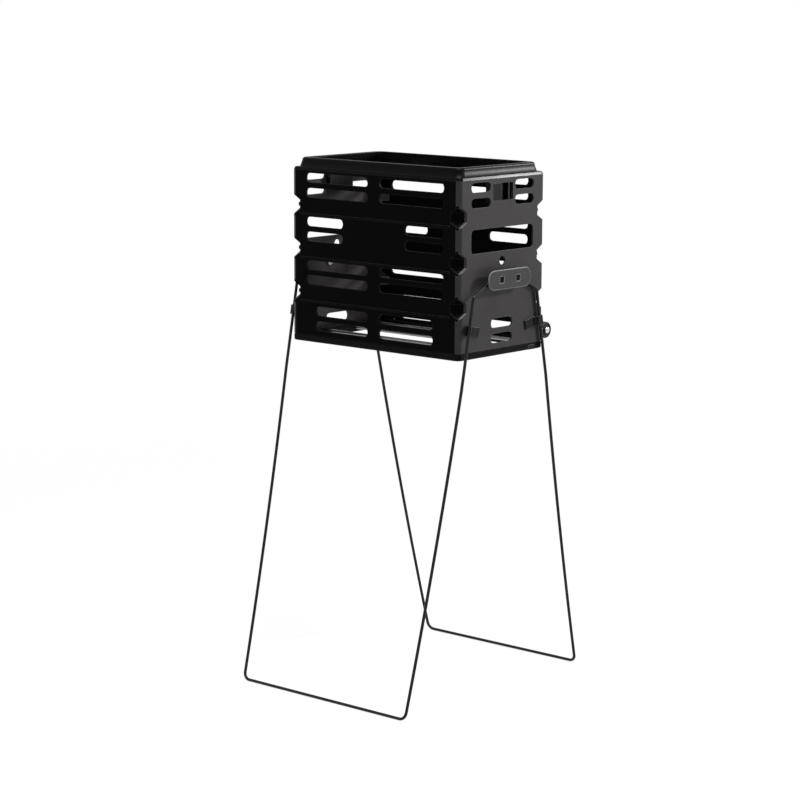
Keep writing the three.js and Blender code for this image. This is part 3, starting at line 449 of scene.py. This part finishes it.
def finishes():
    """Every finish of the hopper, by the kind of piece it goes on."""
    colours = bpy.context.scene.hopper_colours
    return {
        # Painted shade: the long walls' black is darker than the plastic, as if they stood in shade.
        "long_wall": moulded_plastic(
            "shaded black moulded polypropylene", colours.long_wall, roughness=0.5, grain_mm=0.9, depth_mm=0.05,
            shine=0.02),
        # Painted light: the short walls' charcoal stands for light falling on black plastic, and their
        # stronger pale edges are partly a painted highlight.
        "short_wall": moulded_plastic(
            "lit black moulded polypropylene", colours.short_wall, roughness=0.42, grain_mm=0.9,
            depth_mm=0.05, wear_and_highlight=0.8, shine=0.2),
        "rim": moulded_plastic(
            "semi-gloss moulded polypropylene", colours.rim, roughness=0.36, grain_mm=1.2,
            depth_mm=0.002, wear_and_highlight=0.2, shine=0.05, spread=0.02,
            polished_band=(RIM_SHELF, RIM_SHELF + POLISHED_HEIGHT, 0.1)),
        # The plate's strong pale edges are a painted highlight of its bevelled edges catching the light.
        "plate": moulded_plastic(
            "grained dark grey nylon", colours.plate, roughness=0.48, grain_mm=0.8, depth_mm=0.06,
            shade=0.12, wear_and_highlight=3.0, shine=0.2, rub=(2.0, 0.16)),
        "clip": moulded_plastic(
            "black moulded nylon", colours.clip, roughness=0.36, grain_mm=0.9, depth_mm=0.03,
            wear_and_highlight=1.0, shine=0.12, rub=(1.2, 0.16)),
        "wheel": moulded_plastic(
            "black moulded polyethylene", colours.wheel, roughness=0.55, grain_mm=1.1, depth_mm=0.05,
            wear_and_highlight=0.35, shine=0.15),
        "coated_wire": powder_coat(
            "black powder coated steel", colours.coating, roughnesses=(0.2, 0.3), shine=0.22),
        "bar_steel": drawn_steel("drawn steel rod", colours.rod, roughnesses=(0.22, 0.4)),
        # Its very dark colour is partly the blackened finish and partly painted shade inside the plates'
        # square holes.
        "post_steel": plated_steel("blackened steel", colours.blackened, roughness=0.45),
        "screw_steel": plated_steel("zinc plated steel", colours.zinc, roughness=0.32),
        "bolt_chrome": plated_steel("bright chrome plate", colours.chrome, roughness=0.1),
    }


# Walls, rim and bottom frame
RIM_SHELF = RIM_LOW.z + 3.6 * MM
RIM_SEAT = RIM_SHELF + 0.3 * MM
POLISHED_HEIGHT = 4.5 * MM
CROWN_INSET = 11.0 * MM
CROWN_WIDTH = 4.5 * MM
RIM_THICKNESS = 3.0 * MM
LIP_LEAN = math.radians(20)
LIP_ROUND = 0.8 * MM
LEDGE_RUN = 0.6 * MM
LEDGE_RISE = 0.5 * MM
INNER_ROUND = 1.2 * MM
SKIRT_INSET = 3.3 * MM
SKIRT_CHAMFER = 0.4 * MM
FLANGE_REACH = 3.0 * MM
FLANGE_CORNER = 8.0 * MM
CROWN_CORNER = 14.0 * MM
CORNER_STEPS = 14


class HOPPER_OT_walls(bpy.types.Operator):
    """Builds the four slotted walls with softened moulding edges"""

    bl_idname = "hopper.walls"
    bl_label = "Walls"

    def execute(self, context):
        edge = context.scene.hopper_sizes.moulding_edge
        looks = finishes()
        for name, slot in (("front", "long_wall"), ("rear", "long_wall"),
                           ("right", "short_wall"), ("left", "short_wall")):
            wall = moulded_copy(f"wall_{name}", f"{name}_wall_moulding", edge)
            dressed(wall, ROOT, looks[slot])
        return {"FINISHED"}


class HOPPER_OT_rim_and_frame(bpy.types.Operator):
    """Builds the sloped top rim as a loft round the basket, and the bottom frame"""

    bl_idname = "hopper.rim_and_frame"
    bl_label = "Rim and bottom frame"

    def execute(self, context):
        looks = finishes()
        sizes = context.scene.hopper_sizes
        rim = self.rim(sizes)
        dressed(rim, ROOT, looks["rim"])
        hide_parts("top_rim")
        bottom = moulded_copy("bottom_frame", "bottom_frame_moulding", sizes.moulding_edge)
        dressed(bottom, ROOT, looks["rim"])
        return {"FINISHED"}

    def rim(self, sizes):
        """The rim's closed section (inset, height) carried round the basket's outline, with a wider
        corner above the flange."""
        rings = []
        for inset, height in self.rim_section(sizes):
            above = inset > FLANGE_REACH and height > RIM_SEAT
            corner = CROWN_CORNER if above else FLANGE_CORNER
            outline = rounded_rectangle(HALF_LENGTH - inset, HALF_WIDTH - inset, corner, CORNER_STEPS)
            rings.append(np.column_stack([outline, np.full(len(outline), height)]))
        return point_outwards(lofted("rim_moulding", rings, closed_section=True))

    def rim_section(self, sizes):
        """Points (inset, height) round the rim: leaning flange with a round edge, ledge, steep side,
        elliptic shoulder, crown, inner wall and skirt."""
        lip_top = RIM_SEAT + sizes.rim_lip
        top = RIM_HIGH.z
        run = (sizes.rim_lip - LIP_ROUND * (1 - math.sin(LIP_LEAN))) * math.tan(LIP_LEAN)
        lip_middle = (run + LIP_ROUND * math.cos(LIP_LEAN), lip_top - LIP_ROUND)
        flange = arc(lip_middle, LIP_ROUND, 180 - math.degrees(LIP_LEAN), 90, steps=6)
        reach = CROWN_INSET - sizes.rim_side
        shoulder = [(CROWN_INSET + reach * a, top - sizes.rim_shoulder * (1 - b))
                    for a, b in arc((0, 0), 1.0, 180, 90, steps=10)]
        inner = CROWN_INSET + CROWN_WIDTH
        crown = arc((inner, top - INNER_ROUND), INNER_ROUND, 90, 0, steps=5)
        lining = SKIRT_INSET + RIM_THICKNESS
        return [
            (0.0, RIM_SEAT), *flange,
            (sizes.rim_ledge - LEDGE_RUN, lip_top), (sizes.rim_ledge, lip_top + LEDGE_RISE),
            *shoulder, *crown,
            (inner + INNER_ROUND, top - INNER_ROUND - RIM_THICKNESS),
            (sizes.rim_ledge + RIM_THICKNESS, lip_top),
            (lining, RIM_SHELF), (lining, RIM_LOW.z + SKIRT_CHAMFER),
            (lining - SKIRT_CHAMFER, RIM_LOW.z), (SKIRT_INSET, RIM_LOW.z), (SKIRT_INSET, RIM_SEAT)]


class HOPPER_OT_floor_bars(bpy.types.Operator):
    """Builds the four steel floor bars that roll in the bottom frame"""

    bl_idname = "hopper.floor_bars"
    bl_label = "Floor bars"

    def execute(self, context):
        chamfer = context.scene.hopper_sizes.bar_chamfer
        radius = (BAR_HIGH.z - BAR_LOW.z) / 2
        end = BAR_HIGH.x
        profile = [(0, -end), (radius - chamfer, -end), (radius, -end + chamfer),
                   (radius, end - chamfer), (radius - chamfer, end), (0, end)]
        material = finishes()["bar_steel"]
        for i, axis in enumerate(BAR_AXES, start=1):
            bar = turned(f"floor_bar_{i}", profile, axis)
            dressed(bar, f"roller_bar_{i}", material)
            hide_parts(f"roller_bar_{i}")
        return {"FINISHED"}


# Leg frames
WIRE_GAP = 0.3 * MM
POST_RADIUS = 5.0 * MM
KINK_INSET = 23.0 * MM
KINK_DROP = 24.5 * MM
TAPER_DROP = 170.0 * MM
FRONT_TAPER = 12.6 * MM
REAR_TAPER = 19.3 * MM
EYE_TURN = 270.0
BEND_ROOM = 20.0 * MM
FOOT_ROOM = 24.0 * MM
UPPER_POINTS = 12
LOWER_POINTS = 24
WIRE_SIDES = 20
DOME_RINGS = 5
DOME_START = 88
FOOT_BAR_POINTS = 3
LEAST_ACROSS = 0.2


def bend(before, corner, after, radius, steps):
    """The arc of a given radius that rounds off a path's corner: from the touching point on the first
    line, turned about the arc's centre by the angle between the lines."""
    back = unit(before - corner)
    ahead = unit(after - corner)
    half = math.acos(np.clip(back @ ahead, -1, 1)) / 2
    centre = corner + unit(back + ahead) * radius / math.sin(half)
    spoke = corner + back * radius / math.tan(half) - centre
    axis = unit(np.cross(-back, ahead))
    angle = np.linspace(0, math.pi - 2 * half, steps + 1)[:, None]
    return centre + spoke * np.cos(angle) + np.cross(axis, spoke) * np.sin(angle)


def leg_path(arm_x, taper, foot_y, radius, sizes):
    """The centre line of one leg frame on the +Y side, from the right eye to the left one: an open turn
    round the pivot post, a kinked arm with the bow 4 b s (1 - s) for the share s of its height, and the
    foot bar between two bends. The straight points leave room for the bends."""
    kink_y, kink_z = HALF_WIDTH - KINK_INSET, PIVOT.z - KINK_DROP
    taper_z = PIVOT.z - TAPER_DROP
    eye_radius = POST_RADIUS + WIRE_GAP + radius

    def arm(z):
        share = (kink_z - z) / (kink_z - radius)
        y = kink_y + (foot_y - kink_y) * share - 4 * sizes.arm_bow * share * (1 - share)
        x = arm_x - taper * np.clip((taper_z - z) / (taper_z - radius), 0, 1)
        return np.stack([x, y, z], axis=-1)

    run_y, run_z = kink_y - PIVOT.y, kink_z - PIVOT.z
    leave = math.degrees(math.atan2(run_z, run_y) + math.acos(eye_radius / math.hypot(run_z, run_y)))
    eye = arc((PIVOT.y, PIVOT.z), eye_radius, leave + EYE_TURN, leave, steps=48)
    eye = np.column_stack([np.full(len(eye), arm_x), eye])
    upper = arm(np.linspace(kink_z - BEND_ROOM, taper_z, UPPER_POINTS))
    lower = arm(np.linspace(taper_z - BEND_ROOM, FOOT_ROOM, LOWER_POINTS))
    kink = bend(eye[-1], arm(np.array(kink_z)), upper[0], sizes.wire_kink_radius, steps=14)
    foot = arm(np.array(radius))
    middle = foot * (0, 1, 1)
    toe = bend(lower[-1], foot, middle, sizes.wire_foot_radius, steps=16)
    half = np.concatenate([eye, kink, upper, lower, toe])
    return np.concatenate([half, [middle], half[::-1] * (-1, 1, 1)])


def wire(name, path, radius):
    """A round wire along a path that lies, but for its foot bar, near the YZ plane. A ring at each point
    is centre + r (m cos a + b sin a), where m is across the tangent and X, and b across both. Where the
    tangent comes near X, m is taken from the nearest point where it doesn't. The ends are domed by rings
    of radius r cos c set out by r sin c."""
    count = len(path)
    runs = unit(np.diff(path, axis=0))
    tangent = unit(np.concatenate([runs[:1], runs[:-1] + runs[1:], runs[-1:]]))
    across = np.cross(tangent, (1.0, 0.0, 0.0)) * np.where(path[:, :1] >= 0, 1, -1)
    in_foot_bar = np.abs(np.arange(count) - count // 2) < FOOT_BAR_POINTS
    steady = np.flatnonzero((np.linalg.norm(across, axis=1) > LEAST_ACROSS) & ~in_foot_bar)
    nearest = steady[np.abs(np.arange(count)[:, None] - steady).argmin(axis=1)]
    across = unit(across[nearest])
    across = unit(across - tangent * (across * tangent).sum(axis=1)[:, None])
    beside = np.cross(tangent, across)
    dome = np.radians(np.linspace(DOME_START, 0, DOME_RINGS, endpoint=False))
    index = np.concatenate([np.zeros(DOME_RINGS, int), np.arange(count), np.full(DOME_RINGS, count - 1)])
    size = radius * np.concatenate([np.cos(dome), np.ones(count), np.cos(dome)[::-1]])
    push = radius * np.concatenate([-np.sin(dome), np.zeros(count), np.sin(dome)[::-1]])
    centre = path[index] + tangent[index] * push[:, None]
    angle = full_turn(WIRE_SIDES)[:, None]
    spoke = across[index][:, None] * np.cos(angle) + beside[index][:, None] * np.sin(angle)
    return point_outwards(lofted(name, centre[:, None] + spoke * size[:, None, None]))


class HOPPER_OT_leg_frames(bpy.types.Operator):
    """Builds the two leg frames of bent, powder coated wire"""

    bl_idname = "hopper.leg_frames"
    bl_label = "Leg frames"

    def execute(self, context):
        sizes = context.scene.hopper_sizes
        radius = sizes.wire_diameter / 2
        material = finishes()["coated_wire"]
        legs = (("rear", REAR_HIGH.x, REAR_HIGH.y, REAR_TAPER, 1),
                ("front", FRONT_HIGH.x, -FRONT_LOW.y, FRONT_TAPER, -1))
        for name, far_x, far_y, taper, turn in legs:
            path = leg_path(far_x - radius, taper, far_y - radius, radius, sizes)
            leg = wire(f"{name}_leg_wire", path * (turn, turn, 1), radius)
            dressed(leg, f"{name}_leg", material)
            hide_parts(f"{name}_leg")
        return {"FINISHED"}


# Pivots and clips
class HOPPER_OT_pivots(bpy.types.Operator):
    """Builds the pivot plates, posts and nuts"""

    bl_idname = "hopper.pivots"
    bl_label = "Pivots"

    def execute(self, context):
        edge = context.scene.hopper_sizes.small_edge
        looks = finishes()
        for side in SIDES:
            plate = moulded_copy(f"pivot_plate_{side}", f"{side}_pivot_cover", edge)
            dressed(plate, ROOT, looks["plate"])
            for end in ENDS:
                post = moulded_copy(f"pivot_post_{side}_{end}", f"{side}_{end}_post", edge)
                dressed(post, ROOT, looks["post_steel"])
                nut = moulded_copy(f"pivot_nut_{side}_{end}", f"{side}_{end}_cap_nut", edge)
                dressed(nut, ROOT, looks["screw_steel"])
        return {"FINISHED"}


class HOPPER_OT_clips(bpy.types.Operator):
    """Builds the leg clips, the handle clips, the catches of the bottom frame and the wheel brackets"""

    bl_idname = "hopper.clips"
    bl_label = "Clips"

    def execute(self, context):
        edge = context.scene.hopper_sizes.small_edge
        material = finishes()["clip"]
        nodes = [f"leg_clip_{side}_{end}" for side in SIDES for end in ENDS]
        for kind in ("handle_clip", "frame_catch", "wheel_bracket"):
            nodes += [f"{kind}_{side}" for side in SIDES]
        for node in nodes:
            clip = moulded_copy(node, f"{node}_moulding", edge)
            dressed(clip, ROOT, material)
        return {"FINISHED"}


# Fasteners and wheels
HEAD_RADIUS = 3.4 * MM
HEAD_HEIGHT = 2.2 * MM
SHANK_RADIUS = 1.6 * MM
HEAD_RINGS = np.concatenate([np.linspace(0.0, 0.9, 13)[1:], [0.97, 1.0]])
HEAD_STEPS = 40
HEAD_FALL = 0.8
CROSS_HALF_WIDTH = 0.12
CROSS_REACH = 0.55
CROSS_DEPTH = 0.45


def cross_headed(name, seat, turn, shank):
    """A pan head with a cross recess on a shank: over the polar grid (r, a) the crown is
    h sqrt(1 - f (r / R)^2) with the fall f, sunk where the point lies in either arm of the cross."""
    angle = full_turn(HEAD_STEPS)
    share = HEAD_RINGS[:, None]
    y, z = share * np.cos(angle), share * np.sin(angle)
    sunk = (np.minimum(np.abs(y), np.abs(z)) < CROSS_HALF_WIDTH) & (share < CROSS_REACH)
    crown = HEAD_HEIGHT * np.sqrt(1 - HEAD_FALL * share ** 2) - np.where(sunk, CROSS_DEPTH * HEAD_HEIGHT, 0)
    head = np.stack([-crown, y * HEAD_RADIUS, z * HEAD_RADIUS], axis=-1)
    tail = [(HEAD_RADIUS, 0.0), (SHANK_RADIUS, 0.0), (SHANK_RADIUS, shank)]
    body = [np.column_stack([np.full(HEAD_STEPS, place), radius * np.cos(angle), radius * np.sin(angle)])
            for radius, place in tail]
    rings = np.concatenate([head, body]) @ np.array(turn).T + np.asarray(seat)
    return point_outwards(lofted(name, rings, smooth_angle=30))


class HOPPER_OT_screws(bpy.types.Operator):
    """Builds the cross-headed screws of the corners and the wheel brackets"""

    bl_idname = "hopper.screws"
    bl_label = "Screws"

    def execute(self, context):
        looks = finishes()
        for node in [node for node in frame["nodes"] if "screw" in node]:
            screw = self.screw(node)
            slot = "post_steel" if node.startswith("corner") else "screw_steel"
            dressed(screw, ROOT, looks[slot])
            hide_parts(node)
        return {"FINISHED"}

    def screw(self, node):
        """One screw along its CAD node: a corner screw points in at half a right angle to the walls, and
        a bracket screw towards -Y."""
        low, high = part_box(node)
        middle = (low + high) / 2
        inwards = Vector((0, -1, 0))
        if node.startswith("corner"):
            inwards = Vector((-math.copysign(1, middle.x), -math.copysign(1, middle.y), 0)).normalized()
        near, far = self.reach(node, inwards)
        across = inwards.cross(Vector((0, 0, 1)))
        turn = Matrix((inwards, across, inwards.cross(across))).transposed()
        seat = middle + inwards * (near + HEAD_HEIGHT - inwards.dot(middle))
        return cross_headed(f"{node}_head", seat, turn, far - near - HEAD_HEIGHT)

    def reach(self, node, inwards):
        """The nearest and furthest place of a CAD node along a direction."""
        vertices = frame["nodes"][node].data.vertices
        places = np.empty(3 * len(vertices), np.float32)
        vertices.foreach_get("co", places)
        along = places.reshape(-1, 3) @ np.array(inwards)
        return along.min(), along.max()


class HOPPER_OT_wheels(bpy.types.Operator):
    """Builds the wheels with their treads, bolts and nuts"""

    bl_idname = "hopper.wheels"
    bl_label = "Wheels"

    def execute(self, context):
        looks = finishes()
        edge = context.scene.hopper_sizes.small_edge
        for side, direction in (("right", 1), ("left", -1)):
            low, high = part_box(f"wheel_{side}")
            outer = max(abs(low.x), abs(high.x))
            width = high.x - low.x
            radius = (high.z - low.z) / 2
            centre = (0, WHEEL_AXLE.y, WHEEL_AXLE.z)
            section = self.wheel_section(outer - width, outer, radius)
            wheel = turned(f"{side}_wheel_moulding", section, centre, direction, bored=True)
            dressed(wheel, f"wheel_{side}", looks["wheel"])
            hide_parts(f"wheel_{side}")
            bolt = turned(f"{side}_bolt_cap", self.bolt_profile(side), centre, direction)
            dressed(bolt, ROOT, looks["bolt_chrome"])
            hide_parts(f"wheel_bolt_{side}")
            nut = moulded_copy(f"wheel_nut_{side}", f"{side}_wheel_nut", edge)
            dressed(nut, ROOT, looks["screw_steel"])
        return {"FINISHED"}

    def wheel_section(self, inner, outer, radius):
        """The wheel's closed section: bore, hub, dished web, rounded shoulders and three tread grooves,
        one at every fourth point across the tread."""
        bore, hub, dish, shoulder = 2.8 * MM, 6.5 * MM, 1.5 * MM, 2.0 * MM
        groove, points = 0.6 * MM, 13
        tread = radius - shoulder
        face = [(bore, 0.0), (hub, 0.0), (hub + dish, dish), (tread - dish, dish), (tread, 0.0)]
        inner_face = [(out, inner + depth) for out, depth in face]
        inner_shoulder = arc((tread, inner + shoulder), shoulder, -90, 0, steps=6)[1:-1]
        depths = np.where(np.arange(points) % 4 == 2, groove, 0.0)
        treads = np.column_stack([radius - depths, np.linspace(inner + shoulder, outer - shoulder, points)])
        outer_shoulder = arc((tread, outer - shoulder), shoulder, 0, 90, steps=6)[1:-1]
        outer_face = [(out, outer - depth) for out, depth in reversed(face)]
        return [*inner_face, *inner_shoulder, *treads, *outer_shoulder, *outer_face]

    def bolt_profile(self, side):
        """Shank, seat, straight brim and domed cap of the wheel bolt."""
        low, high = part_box(f"wheel_bolt_{side}")
        tip = max(abs(low.x), abs(high.x))
        tail = min(abs(low.x), abs(high.x))
        shank, head, height, brim = 2.5 * MM, 5.3 * MM, 4.0 * MM, 0.3
        seat = tip - height
        cap = [(head * a, seat + height * (brim + (1 - brim) * b))
               for a, b in arc((0.0, 0.0), 1.0, 0, 90, steps=10)]
        return [(0, tail), (shank, tail), (shank, seat), (head, seat), *cap]


# Studio
CAMERA_AZIMUTH = math.radians(40.97)
CAMERA_ELEVATION = math.radians(9.87)
CAMERA_ROLL = math.radians(0.31)
CAMERA_DISTANCE = 4.19245
CAMERA_TARGET = Vector((0.0, 0.0, 0.45))
FOCAL_PIXELS = 2530.26
FRAME_PIXELS = 800
CENTRE_PIXEL = (416.12, 408.93)
SENSOR = 36.0
FLOOR_RADIUS = 60.0
FLOOR_STEPS = 96
SURROUND_STRENGTH = 0.34
# How far the floor is lifted to white, at the near and the far distance from the middle
FLOOR_LIFT = (0.86, 1.0)
LIFT_DISTANCES = (0.4, 2.5)
# Name, place, point that it faces, width and power of each lamp
SOFTBOXES = (
    ("key softbox", (1.95, 2.75, 2.0), (0, 0, 0.7), 0.5, 150),
    ("top softbox", (0.6, -0.3, 3.2), (0, 0, 0.8), 0.9, 100),
)


def studio_camera():
    """The photograph's camera: an azimuth round the basket, an elevation and a slight roll."""
    back = Vector((
        math.sin(CAMERA_AZIMUTH) * math.cos(CAMERA_ELEVATION),
        -math.cos(CAMERA_AZIMUTH) * math.cos(CAMERA_ELEVATION),
        math.sin(CAMERA_ELEVATION),
    ))
    level = Vector((math.cos(CAMERA_AZIMUTH), math.sin(CAMERA_AZIMUTH), 0.0))
    right = level * math.cos(CAMERA_ROLL) + back.cross(level) * math.sin(CAMERA_ROLL)
    data = bpy.data.cameras.new("photo camera")
    data.sensor_width = SENSOR
    data.lens = FOCAL_PIXELS / FRAME_PIXELS * SENSOR
    data.shift_x = (FRAME_PIXELS / 2 - CENTRE_PIXEL[0]) / FRAME_PIXELS
    data.shift_y = (CENTRE_PIXEL[1] - FRAME_PIXELS / 2) / FRAME_PIXELS
    data.clip_end = 4 * FLOOR_RADIUS
    camera = placed("photo camera", data)
    rotation = Matrix((right, back.cross(right), back)).transposed().to_4x4()
    camera.matrix_world = Matrix.Translation(CAMERA_TARGET + back * CAMERA_DISTANCE) @ rotation
    bpy.context.scene.camera = camera


def softbox(name, place, aim, size, power):
    """A square area lamp turned to a point."""
    data = bpy.data.lights.new(name, "AREA")
    data.shape = "SQUARE"
    data.size = size
    data.energy = power
    lamp = placed(name, data)
    lamp.location = place
    lamp.rotation_mode = "QUATERNION"
    lamp.rotation_quaternion = (Vector(aim) - Vector(place)).to_track_quat("-Z", "Y")


def seen_rays(tree):
    """Light Path's camera, glossy and transmission rays together, as 0 or 1."""
    path = add_node(tree, "ShaderNodeLightPath").outputs
    both = add_node(tree, "ShaderNodeMath", {0: path["Is Camera Ray"], 1: path["Is Glossy Ray"]},
                    operation="MAXIMUM")
    seen = add_node(tree, "ShaderNodeMath", {0: both.outputs["Value"], 1: path["Is Transmission Ray"]},
                    operation="MAXIMUM")
    return seen.outputs["Value"]


def studio_world():
    """An even pale surround that lights softly and is white where it is seen."""
    world = bpy.data.worlds.new("studio surround")
    tree = empty_tree(world)
    power = add_node(tree, "ShaderNodeMapRange", {
        "Value": seen_rays(tree), "From Min": 0.0, "From Max": 1.0,
        "To Min": SURROUND_STRENGTH, "To Max": 1.0})
    light = add_node(tree, "ShaderNodeBackground", {"Color": WHITE, "Strength": power.outputs["Result"]})
    add_node(tree, "ShaderNodeOutputWorld", {"Surface": light.outputs["Background"]})
    bpy.context.scene.world = world


def floor_finish():
    """Matt white paper: what is seen of it is lifted to white, and keeps part of the shadow near the
    middle."""
    material = bpy.data.materials.new("matt white paper")
    tree = empty_tree(material)
    place = add_node(tree, "ShaderNodeTexCoord").outputs["Object"]
    far = add_node(tree, "ShaderNodeVectorMath", {0: place}, operation="LENGTH")
    fade = add_node(tree, "ShaderNodeMapRange", {
        "Value": far.outputs["Value"], "From Min": LIFT_DISTANCES[0], "From Max": LIFT_DISTANCES[1],
        "To Min": FLOOR_LIFT[0], "To Max": FLOOR_LIFT[1]})
    lift = add_node(tree, "ShaderNodeMath", {0: seen_rays(tree), 1: fade.outputs["Result"]},
                    operation="MULTIPLY")
    grain = add_node(tree, "ShaderNodeTexNoise", {
        "Vector": place, "Scale": per_metre(3.0), "Detail": 3.0, "Roughness": 0.55})
    tone = add_node(tree, "ShaderNodeMix", {
        "Factor": grain.outputs["Fac"], "A": rgba(linear("#e7e7e7")), "B": rgba(linear("#ececec"))},
        data_type="RGBA")
    paper = add_node(tree, "ShaderNodeBsdfDiffuse", {"Color": tone.outputs["Result"]})
    white = add_node(tree, "ShaderNodeEmission", {"Color": WHITE, "Strength": 1.0})
    mixed = add_node(tree, "ShaderNodeMixShader", {
        "Fac": lift.outputs["Value"], 1: paper.outputs["BSDF"], 2: white.outputs["Emission"]})
    add_node(tree, "ShaderNodeOutputMaterial", {"Surface": mixed.outputs["Shader"]})
    return material


class HOPPER_OT_stage(bpy.types.Operator):
    """Sets the floor, the soft light and the photograph's camera"""

    bl_idname = "hopper.stage"
    bl_label = "Stage"

    def execute(self, context):
        angle = full_turn(FLOOR_STEPS)
        edge = np.column_stack([FLOOR_RADIUS * np.cos(angle), FLOOR_RADIUS * np.sin(angle), 0 * angle])
        floor = mesh_object("studio_floor", edge, [range(FLOOR_STEPS)])
        floor.data.materials.append(floor_finish())
        studio_world()
        for settings in SOFTBOXES:
            softbox(*settings)
        studio_camera()
        context.scene.view_settings.view_transform = "Standard"
        return {"FINISHED"}


class HOPPER_PT_panel(bpy.types.Panel):
    """Lists the sizes, colours and pieces in the sidebar"""

    bl_idname = "HOPPER_PT_panel"
    bl_label = "Tennis Ball Hopper"
    bl_space_type = "VIEW_3D"
    bl_region_type = "UI"
    bl_category = "Hopper"

    def draw(self, context):
        for group in (context.scene.hopper_sizes, context.scene.hopper_colours):
            box = self.layout.box()
            for name in group.bl_rna.properties.keys():
                if name not in ("rna_type", "name"):
                    box.prop(group, name)
        for step in STEPS:
            self.layout.operator(step.bl_idname)


STEPS = (HOPPER_OT_stage, HOPPER_OT_walls, HOPPER_OT_rim_and_frame, HOPPER_OT_floor_bars,
         HOPPER_OT_leg_frames, HOPPER_OT_pivots, HOPPER_OT_clips, HOPPER_OT_screws, HOPPER_OT_wheels)
CLASSES = (HopperSizes, HopperColours, *STEPS, HOPPER_PT_panel)


def register():
    """Adds the classes and the scene's settings."""
    for item in CLASSES:
        bpy.utils.register_class(item)
    bpy.types.Scene.hopper_sizes = PointerProperty(type=HopperSizes)
    bpy.types.Scene.hopper_colours = PointerProperty(type=HopperColours)


def unregister():
    """Removes the scene's settings and the classes."""
    del bpy.types.Scene.hopper_colours
    del bpy.types.Scene.hopper_sizes
    for item in reversed(CLASSES):
        bpy.utils.unregister_class(item)


def main():
    """Builds the stage and every piece."""
    register()
    for step in STEPS:
        group, name = step.bl_idname.split(".")
        getattr(getattr(bpy.ops, group), name)()


if __name__ == "__main__":
    main()
